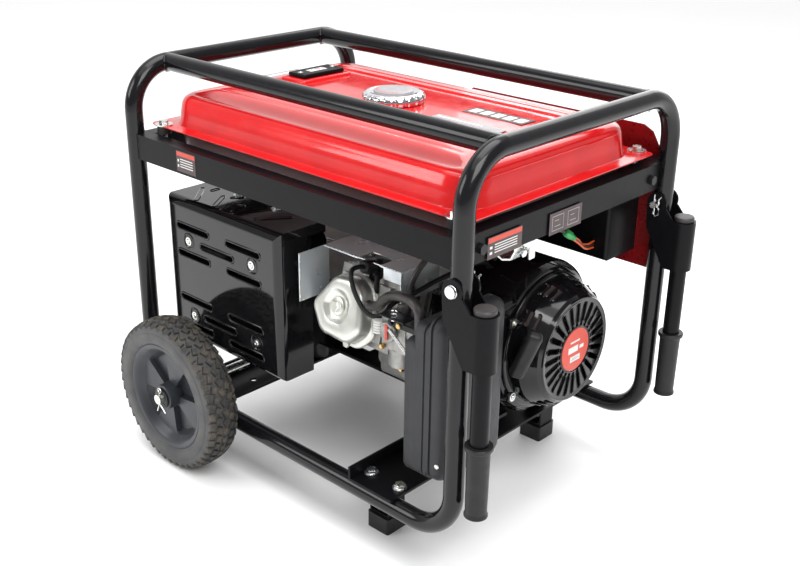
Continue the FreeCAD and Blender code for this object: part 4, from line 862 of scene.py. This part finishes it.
def carburettor_details():
    """An intake stub with a red mark, a link rod, brass jets, a throttle spring and a dark lever."""
    mesh = bmesh.new()
    face = span("carburettor")[0].y
    turned(mesh, at(169, face, 318), -Y, [(0, 15), (3, 15.4), (5, 14), (5.6, 11), (4, 9), (4, 2)], 36)
    block(mesh, (166, face - 6.4, 306), (171, face - 5.2, 330), 0.5, material=2)
    bar(mesh, (176, face - 8, 326), (214, face - 10, 300), 2.6, material=1)
    for x, y, z, radius in ((190, face, 334, 4.6), (177, -164, 258, 5.2), (158, face, 292, 4.0)):
        axis = -Z if z < 270 else -Y
        hexagon(mesh, at(x, y, z), axis, radius, 6, material=3)
    coil = [at(184 + 4 * cos(n * 1.1), face - 6 + 4 * sin(n * 1.1), 338 + n * 0.9)
            for n in range(23)]
    for spring, following in zip(coil, coil[1:]):
        bar(mesh, spring, following, 0.6, 0.1, 6, material=1)
    for n in range(5):
        turned(mesh, at(150, -184, 330 - n * 4.0), -Z, [(0, 7), (1, 8), (2.4, 8), (3.2, 7)], 20,
               material=4)
    block(mesh, (160, face - 12, 344), (206, face + 14, 346), 0.6, material=5)
    finish("carburettor_linkage", mesh, "frame",
           [CAST_ALUMINIUM, ZINC, LABEL_RED, BRASS, LABEL_WHITE, BLACK_OXIDE], sharp=40)


guard_details()
rocker_lid()
plug_boot()
cowl_edges()
carburettor_details()

# the same routes that the CAD tubes follow
BREATHER = [(112.5, -166.8, 335.6), (132, -166.8, 335.6), (156, -177, 364), (188, -187, 380),
            (218, -193, 384), (236, -196, 376), (238, -196, 358), (238, -196, 341.02)]
FUEL_LINE = [(238, -120, 450), (210, -120, 450), (194, -132, 424), (187, -156, 396), (186, -164, 368),
             (186, -164, 340.02)]
PLUG_LEAD = [(88, -153.5, 382.8), (88, -174, 388), (95, -185, 381), (100, -185, 362), (112, -186, 346),
             (128, -188, 334), (143, -182, 330), (150.2, -170, 335), (151, -158, 348),
             (161, -138, 353), (166, -80, 364), (180, -20, 376), (190, 10, 374), (190, 10, 352)]
cord_curve("breather_and_fuel_hoses", [(BREATHER, 7, 0.12), (FUEL_LINE, 4.5, 0)], "frame",
           HOSE_RUBBER, ["hoses"])
cord_curve("ignition_cable", [(PLUG_LEAD, 3.5, 0)], "frame", GRIP_RUBBER, ["ignition_lead"])


# -------- air cleaner
def air_cleaner():
    """A moulded case with a stepped top and ribs, and a domed cover behind its parting lines."""
    low, high = span("air_cleaner_case")
    cover_low, cover_high = span("air_cleaner_cover")
    step = 18
    mesh = bmesh.new()
    top = at(high.x, high.y, high.z - 29)
    loft_along_x(mesh, [(low.x, 4), (low.x + 1.2, 1.6), (low.x + 4, 0.2), (low.x + step + 4, 0.2)], low,
                 top, 14)
    edge = high.x
    ribs = [(low.x + step, 3), (low.x + step + 1.5, 1), (low.x + step + 4, 0.2), (edge - 9, 0.2),
            (edge - 8.2, 2.0), (edge - 6.4, 2.0), (edge - 5.6, 0.2), (edge, 0.2)]
    loft_along_x(mesh, ribs, low, high, 14)
    finish("air_cleaner_body", mesh, "frame", [CASE_PLASTIC], ["air_cleaner_case"],
           sharp=50)
    mesh = bmesh.new()
    start = cover_low.x
    sections = [(start, 0.2), (start + 3.2, 0.2), (start + 4, 2.6), (start + 6.4, 2.6), (start + 7.4, 0.2),
                (start + 13, 0.4), (start + 18, 1.8), (start + 22, 4.6), (start + 24.6, 8.4),
                (cover_high.x, 13)]
    loft_along_x(mesh, sections, cover_low, cover_high, 18)
    screw = at(cover_high.x - 9, cover_low.y + 2.2, cover_low.z + 30)
    turned(mesh, screw, -Y, [(0, 3.4), (1.6, 3.2), (2.0, 1.2)], 20, material=1)
    finish("air_cleaner_lid", mesh, "frame", [CASE_PLASTIC, ZINC],
           ["air_cleaner_cover"], sharp=50)


# -------- recoil starter
def round_the_crank(x, radius, turn):
    """A point on the starter, with turn measured from straight up towards the near side."""
    angle = radians(turn)
    return at(x, CRANK.y - radius * sin(angle), CRANK.z + radius * cos(angle))


def away_from_crank(turn):
    """The direction straight out from the crank axis."""
    return round_the_crank(0, 1, turn) - round_the_crank(0, 0, turn)


def recoil_details():
    """Rims and slot lips on the face, slots in groups round the side with a thin dark plate in each as
    painted shade, mounting screws and a badge.
    """
    low, high = span("recoil_housing")
    face = high.x
    mesh = bmesh.new()
    centre = at(face, CRANK.y, CRANK.z)
    ring_turned(mesh, centre, X, [(-0.5, 35), (0.5, 35.2), (0.9, 36), (0.5, 37.2), (-0.5, 37.4)], 72)
    ring_turned(mesh, centre, X, [(-2, 73), (0.1, 73.2), (0.3, 77), (0.9, 78.6), (0.5, 80), (-1.6, 81)], 96)
    for n in range(24):
        turn = 15 * n
        way = away_from_crank(turn)
        lip(mesh, round_the_crank(face, 57.5, turn), way, X.cross(way), 15.5, 3.5, rim=1.4, height=0.9,
            sink=2.6)
    ring_turned(mesh, at(low.x, CRANK.y, CRANK.z), X,
                [(0, 97), (0, 104.5), (1.2, 105.6), (4, 105.8), (5.4, 104.6), (6, 101), (6.2, 97)], 96)
    for turn, count in ((18, 3), (50, 3), (-18, 3), (-55, 3), (-95, 3), (152, 4), (-140, 3)):
        for n in range(count):
            x = 273.5 + 10.5 * n
            radius = 97.4 if x < 286 else 97.4 - (x - 286) * 0.52
            spot = round_the_crank(x, radius, turn)
            out = away_from_crank(turn)
            along = X.cross(out).normalized()
            across = out.cross(along).normalized()
            lip(mesh, spot, along, across, 12, 2.8, rim=2.0, height=1.0, sink=0.6)
            # A thin dark plate in each side slot: painted shade where the slot would open into the housing.
            plate = stadium(spot + out * 0.15, along, across, 11.8, 2.7)
            prism(mesh, plate, out * 0.2, 1)
    for turn in (58, -62, 128, -128):
        spot = round_the_crank(low.x + 5, 106, turn)
        block_low = spot - at(5, 8, 8)
        block(mesh, block_low, spot + at(2, 8, 8), 3)
        pan_screw(mesh, spot + X * 2, X, 4.6, material=2)
    finish("recoil_rims_slots_and_painted_slot_shade", mesh, "frame", [GLOSS_BLACK, LABEL_DARK, ZINC], sharp=40)
    mesh = bmesh.new()
    turned(mesh, centre, X, [(0.1, 33.6), (0.7, 33.4), (0.8, 32.8)], 72)
    badge_marks = [(-14, 12.4, 9, 15.0, 1), (-18, -3.4, 6, 6.4, 1), (10, -1.6, 20, 4, 1),
                   (-12, -18.6, 12, -9.8, 1), (-10, -15.4, 10, -14.4, 2), (-8, -12.8, 8, -12.0, 2)]
    for left, low_z, right, top_z, material in badge_marks:
        corners = ((left, low_z), (right, low_z), (right, top_z), (left, top_z))
        outline = [centre + Y * y + Z * z for y, z in corners]
        prism(mesh, [point + X * (0.75 + 0.1 * material) for point in outline], X * 0.2, material)
    finish("recoil_badge", mesh, "frame", [LABEL_RED, LABEL_WHITE, LABEL_GREY], sharp=40)


air_cleaner()
recoil_details()


# -------- lift handles
def grip_sleeve(side):
    """A rubber sleeve with a collar and a lipped foot, and the cap in the handle tube's upper end."""
    low, high = span("handle_grip_" + side)
    centre = at(*middle("handle_grip_" + side).xy, low.z)
    grip_top = 106
    profile = [(0, 12), (0.5, 16), (3, 16), (5, 14.9), (8, 14.6), (40, 14.9), (grip_top - 16, 15.4),
               (grip_top - 8, 16), (grip_top - 6, 18.6), (grip_top - 5, 19), (grip_top - 1.2, 19),
               (grip_top, 18), (grip_top, 12.6)]
    mesh = bmesh.new()
    turned(mesh, centre, Z, profile, 48)
    top = high.z - low.z
    turned(mesh, centre, Z, [(top - 7.4, 14.2), (top - 6.6, 14.8), (top - 2, 14.8), (top - 0.4, 13.6),
                             (top, 11)], 48, material=1)
    finish("handle_sleeve_" + side, mesh, "handle_" + side, [GRIP_RUBBER, PLUG_RUBBER],
           ["handle_grip_" + side], sharp=35)


def pin_clips():
    """A washer under each pin's head, and an R-clip of spring wire through each pin."""
    low, high = span("handle_pins")
    x, z = middle("handle_pins").x, high.z - 8
    mesh = bmesh.new()
    for side in (-1, 1):
        out = Y * side
        face = high.y if side > 0 else low.y
        head = at(x, face, z)
        ring_turned(mesh, head - out * 4.1, out, [(0, 5.2), (0, 8.4), (0.8, 8.8), (1.4, 8.4), (1.4, 5.2)], 36)
        clip = at(x, face - side * 46, z)
        route = [(-1, 15), (-1, 4), (-1, -8), (-2, -14), (3, -18), (9, -14), (8, -6), (4.6, -3), (8, 2),
                 (7, 9), (11, 13)]
        pipe(mesh, [clip + at(a * 0.9, -side * 0.4, b) for a, b in route], 1.15)
    finish("pin_clips", mesh, "frame", [ZINC], sharp=50)


for side in ("near", "far"):
    grip_sleeve(side)
pin_clips()


# -------- fuel tap bracket and wires
def under_the_tank():
    """The folded bright bracket that holds the fuel tap, and the engine's wires with their connector."""
    mesh = bmesh.new()
    rail = span("tank_rails")[0].z
    place = 322
    profile = [(place, rail + 8), (place, rail - 14), (place - 6, rail - 26), (place - 20, rail - 30),
               (place - 34, rail - 24)]
    for (x, z), (after_x, after_z) in zip(profile, profile[1:]):
        way = (at(after_x, 0, after_z) - at(x, 0, z)).normalized()
        out = way.cross(Y) * 1.2
        corners = [at(x, -110, z), at(x, -74, z), at(after_x, -74, after_z),
                   at(after_x, -110, after_z)]
        prism(mesh, [corner - out for corner in corners], out * 2)
    lip(mesh, at(place + 1.4, -90, rail - 4), Z, Y.cross(-Z), 8, 4, rim=3, height=1.6, sink=0.4)
    block(mesh, (place - 2, -78, rail - 34), (place + 1, -66, rail - 6), 0.8)
    hexagon(mesh, at(place + 1.2, -96, rail - 18), X, 6, 5)
    finish("fuel_tap_bracket", mesh, "frame", [ZINC], sharp=40)
    mesh = bmesh.new()
    bar(mesh, (286, 56, 433), (285, 74, 421), 6, 2, 6, material=0)
    bar(mesh, (285, 73, 422), (284.6, 82, 416), 4.2, 1, 12, material=0)
    for n in range(3):
        offset = 2.6 * (n - 1)
        pipe(mesh, [at(285, 80, 417 + offset), at(282, 98, 406 + offset),
                    at(278 - offset, 118, 392 + offset), at(272, 140, 384 + offset * 1.5),
                    at(266, 166, 380 + offset * 2)], 1.5, material=2 if n == 1 else 1)
    pipe(mesh, [at(286, 58, 432), at(284, 40, 441), at(272, 14, 446), at(250, -4, 436),
                at(222, -4, 408), at(202, 4, 382)], 2.6, material=2)
    finish("wires_and_connector", mesh, "frame",
           [GREEN_PLASTIC, ORANGE_WIRE, HOSE_RUBBER])


under_the_tank()


# -------- labels
def labels():
    """Plates on the rails and the tank, with plain bars where print would be."""
    side = span("tank_rails")[0].y
    end = span("tank_rails")[1].x
    lines = [(0.20, 0.30 + 0.16 * n, 0.86, 0.36 + 0.16 * n) for n in range(4)]
    mark = [(0.06, 0.28, 0.13, 0.44), (0.06, 0.62, 0.13, 0.78)]
    label("side_rail_label", "frame", (-222, side, 476), X, Z, 46, 32, lines + mark, head=0.24)
    label("end_rail_label", "frame", (end, -186, 472), Y, Z, 69, 29, lines + mark, head=0.26)
    boxes = []
    for start in (0.08, 0.56):
        boxes += [(start, 0.18, start + 0.012, 0.84), (start + 0.34, 0.18, start + 0.352, 0.84),
                  (start, 0.82, start + 0.35, 0.85), (start, 0.16, start + 0.35, 0.19),
                  (start + 0.08, 0.34, start + 0.26, 0.37), (start + 0.08, 0.60, start + 0.20, 0.63)]
    label("end_rail_symbol_label", "frame", (end, -58, 470), Y, Z, 73, 30, boxes, mark=LABEL_GREY)
    top = TANK_TOP + 1.6
    cells = [(0.05 + 0.19 * n, 0.2, 0.19 + 0.19 * n, 0.8) for n in range(5)]
    on_tank = [("tank_dark_label", (112, 26, top), 108, 34, LABEL_DARK, cells),
               ("tank_strip_label", (100, -28, top), 124, 18, LABEL_GREY, [(0.04, 0.4, 0.7, 0.6)]),
               ("tank_end_label", (-282, -22, top - 4.5), 56, 80, LABEL_GREY,
                [(0.12, 0.1, 0.3, 0.9), (0.5, 0.1, 0.62, 0.7)])]
    for name, corner, width, height, ground, bars in on_tank:
        label(name, "frame", corner, X, Y, width, height, bars, ground=ground)


labels()


# -------- alternator, muffler and control side
def alternator_details():
    """Dark plates round the rear end bell, painted shade where its cooling slots open, and the through-bolts
    that hold the stator.
    """
    low, high = span("alternator_end_bells")
    mesh = bmesh.new()
    for n in range(10):
        turn = 36 * n + 18
        out = away_from_crank(turn)
        spot = round_the_crank(low.x, 50, turn)
        # Each slot is a thin dark plate on the bell's face: painted shade in place of an open vent.
        outline = stadium(spot - X * 0.2, out, X.cross(out), 14, 4.6)
        prism(mesh, outline, -X * 0.25, 1)
    for turn in (45, 135, 225, 315):
        spot = round_the_crank(0, 99, turn)
        bar(mesh, spot + X * (low.x + 22), spot + X * (high.x - 10), 2.6, material=0)
        hexagon(mesh, spot + X * (low.x + 22), -X, 5.6, 4, material=0)
    ring_turned(mesh, at(low.x, CRANK.y, CRANK.z), -X, [(0, 16), (0, 30), (2.4, 28), (2.8, 18)], 40, 2)
    finish("alternator_painted_vent_shade_and_bolts", mesh, "frame", [ZINC, BLACK_PLASTIC, CAST_ALUMINIUM])


def panel_details():
    """Rings round the sockets, plain marks beside the switches, a voltmeter window and panel screws."""
    mesh = bmesh.new()
    low, high = span("control_panel")
    face = high.y
    meter = at(89, face + 8.7, 442)
    for x in (150, 232):
        ring_turned(mesh, at(x, face + 2.1, 410), Y, [(0, 25.4), (1.6, 26), (2.6, 27), (1.6, 27.8),
                                                      (0, 27.9)], 56, 0)
    block(mesh, (66, face + 8.1, 440), (112, face + 8.6, 466), 0.4, material=1)
    for n in range(9):
        angle = radians(40 + 12.5 * n)
        spot = meter + at(cos(angle), 0, sin(angle)) * 18
        block(mesh, spot - at(0.5, 0, 1.6), spot + at(0.5, 0.3, 1.6), material=0)
    bar(mesh, (89, face + 8.8, 442), (80, face + 8.8, 457), 0.5, 0.1, 8, material=2)
    for x in (low.x + 12, high.x - 12):
        for z in (low.z + 14, high.z - 40):
            pan_screw(mesh, at(x, face, z), Y, 4.4, material=3)
    for z in (478, 432, 384):
        block(mesh, (22, face + 0.02, z), (54, face + 0.4, z + 2), material=1)
    block(mesh, (130, face + 0.02, 344), (250, face + 0.5, 362), material=0)
    block(mesh, (136, face + 0.5, 350), (220, face + 0.8, 354), material=1)
    finish("panel_rings_and_marks", mesh, "frame",
           [BLACK_PLASTIC, LABEL_WHITE, LABEL_RED, ZINC], sharp=40)


def muffler_details():
    """Crimped seams round the muffler's two ends."""
    half_y, half_z = 59.8, 103.8
    centre_y, centre_z = -137, 287
    mesh = bmesh.new()
    for x in (-290, -70):
        inward = 1 if x < -100 else -1
        plan = rounded_plan(half_y, half_z, 37.8, 8, 4)
        rows = []
        for along, grow in ((0, 0), (0, 2.2), (4, 2.2), (4, 0)):
            rows.append([at(x + along * inward, centre_y + point.x * (59 + grow) / half_y,
                            centre_z + point.y * (103 + grow) / half_z) for point in plan])
        sheet_of(mesh, rows + [rows[0]], closed=True)
    finish("muffler_seams", mesh, "frame", [SATIN_BLACK], sharp=40)


alternator_details()
panel_details()
muffler_details()


# -------- paint on what the CAD already shapes
FINISHES = [
    (FRAME_BLACK, "hoop_wheel_end hoop_handle_end long_rails"),
    (SATIN_BLACK, "tank_rails cross_members engine_cradle muffler control_box handle_arm_near "
                  "handle_arm_far"),
    (BLACK_OXIDE, "frame_bolts"),
    (GRIP_RUBBER, "rubber_feet spark_plug_cap pull_grip ignition_lead handle_grip_near handle_grip_far"),
    (HOSE_RUBBER, "rubber_mounts hoses"),
    (ZINC, "axle fuel_tap fuel_tap_lever handle_pins zinc_bolts"),
    (MACHINED_STEEL, "crankshaft piston"),
    (CAST_IRON, "flywheel"),
    (LAMINATIONS, "alternator_rotor alternator_stator"),
    (CAST_ALUMINIUM, "alternator_end_bells crankcase crankcase_cover cylinder_head carburettor"),
    (ROCKER_SILVER, "rocker_cover"),
    (COWL_ZINC, "cylinder_cowl"),
    (BLACK_PLASTIC, "choke_lever recoil_pulley oil_plugs panel_fittings socket_lid_1 socket_lid_2 "
                    "breaker_switch"),
    (CASE_PLASTIC, "air_cleaner_case air_cleaner_cover"),
    (FOAM, "air_filter"),
    (GLOSS_BLACK, "fan_shroud recoil_housing muffler_guard"),
    (PANEL_RED, "control_panel"),
    (LABEL_RED, "engine_switch"),
]
for material, nodes in FINISHES:
    for node in nodes.split():
        paint(node, material)


# -------- floor, light and camera
def studio():
    """A white floor and world, four soft lamps and a wide sun straight above."""
    floor_mesh = bpy.data.meshes.new("floor")
    reach = 12.0
    corners = [(-reach, -reach, 0), (reach, -reach, 0), (reach, reach, 0), (-reach, reach, 0)]
    floor_mesh.from_pydata(corners, [], [(0, 1, 2, 3)])
    floor_mesh.materials.append(FLOOR)
    floor = bpy.data.objects.new("floor", floor_mesh)
    bpy.context.scene.collection.objects.link(floor)
    world = bpy.data.worlds.new("studio")
    world.use_nodes = True
    tree = world.node_tree
    place = tree.nodes.new("ShaderNodeTexCoord")
    facing = tree.nodes.new("ShaderNodeVectorMath")
    facing.operation = "DOT_PRODUCT"
    facing.inputs[1].default_value = (-0.64, 0.69, -0.35)
    tree.links.new(place.outputs["Generated"], facing.inputs[0])
    strength = ranged(tree, facing.outputs["Value"], 0.3, 1.03, -0.1, 0.55)
    tree.links.new(strength, tree.nodes["Background"].inputs["Strength"])
    tree.nodes["Background"].inputs["Color"].default_value = (1.0, 1.0, 1.0, 1)
    bpy.context.scene.world = world
    lamps = [("key", (1.9, -0.9, 2.4), 1.6, 55), ("fill", (-1.6, -2.6, 1.9), 1.5, 38),
             ("top", (0.0, 0.3, 3.2), 2.2, 48), ("back", (-1.0, 2.8, 1.9), 2.2, 30)]
    for name, place, size, power in lamps:
        lamp = bpy.data.lights.new(name, "AREA")
        lamp.size = size
        lamp.energy = power
        obj = bpy.data.objects.new(name, lamp)
        obj.location = place
        obj.rotation_euler = (at(0, 0, 0.3) - Vector(place)).to_track_quat("-Z", "Y").to_euler()
        bpy.context.scene.collection.objects.link(obj)
    sky = bpy.data.lights.new("overhead", "SUN")
    sky.energy = 1.5
    sky.angle = radians(70)
    bpy.context.scene.collection.objects.link(bpy.data.objects.new("overhead", sky))
    view = bpy.context.scene.view_settings
    view.view_transform = "Standard"
    view.exposure = 0.0


CAMERA_PLACE = at(1116.1, -1182.6, 976.3)
AZIMUTH, ELEVATION, ROLL = radians(42.87), radians(23.03), radians(0.83)
# the focal length over the width of the sensor
LENS_PER_WIDTH = 1.3763375


def camera():
    """The main view."""
    lens = bpy.data.cameras.new("camera")
    lens.sensor_width = 36
    lens.lens = 36 * LENS_PER_WIDTH
    obj = bpy.data.objects.new("camera", lens)
    turn = Quaternion(Z, AZIMUTH) @ Quaternion(X, radians(90) - ELEVATION) @ Quaternion(Z, ROLL)
    obj.rotation_mode = "QUATERNION"
    obj.rotation_quaternion = turn
    obj.location = TO_ROW @ CAMERA_PLACE
    bpy.context.scene.collection.objects.link(obj)
    bpy.context.scene.camera = obj


studio()
camera()
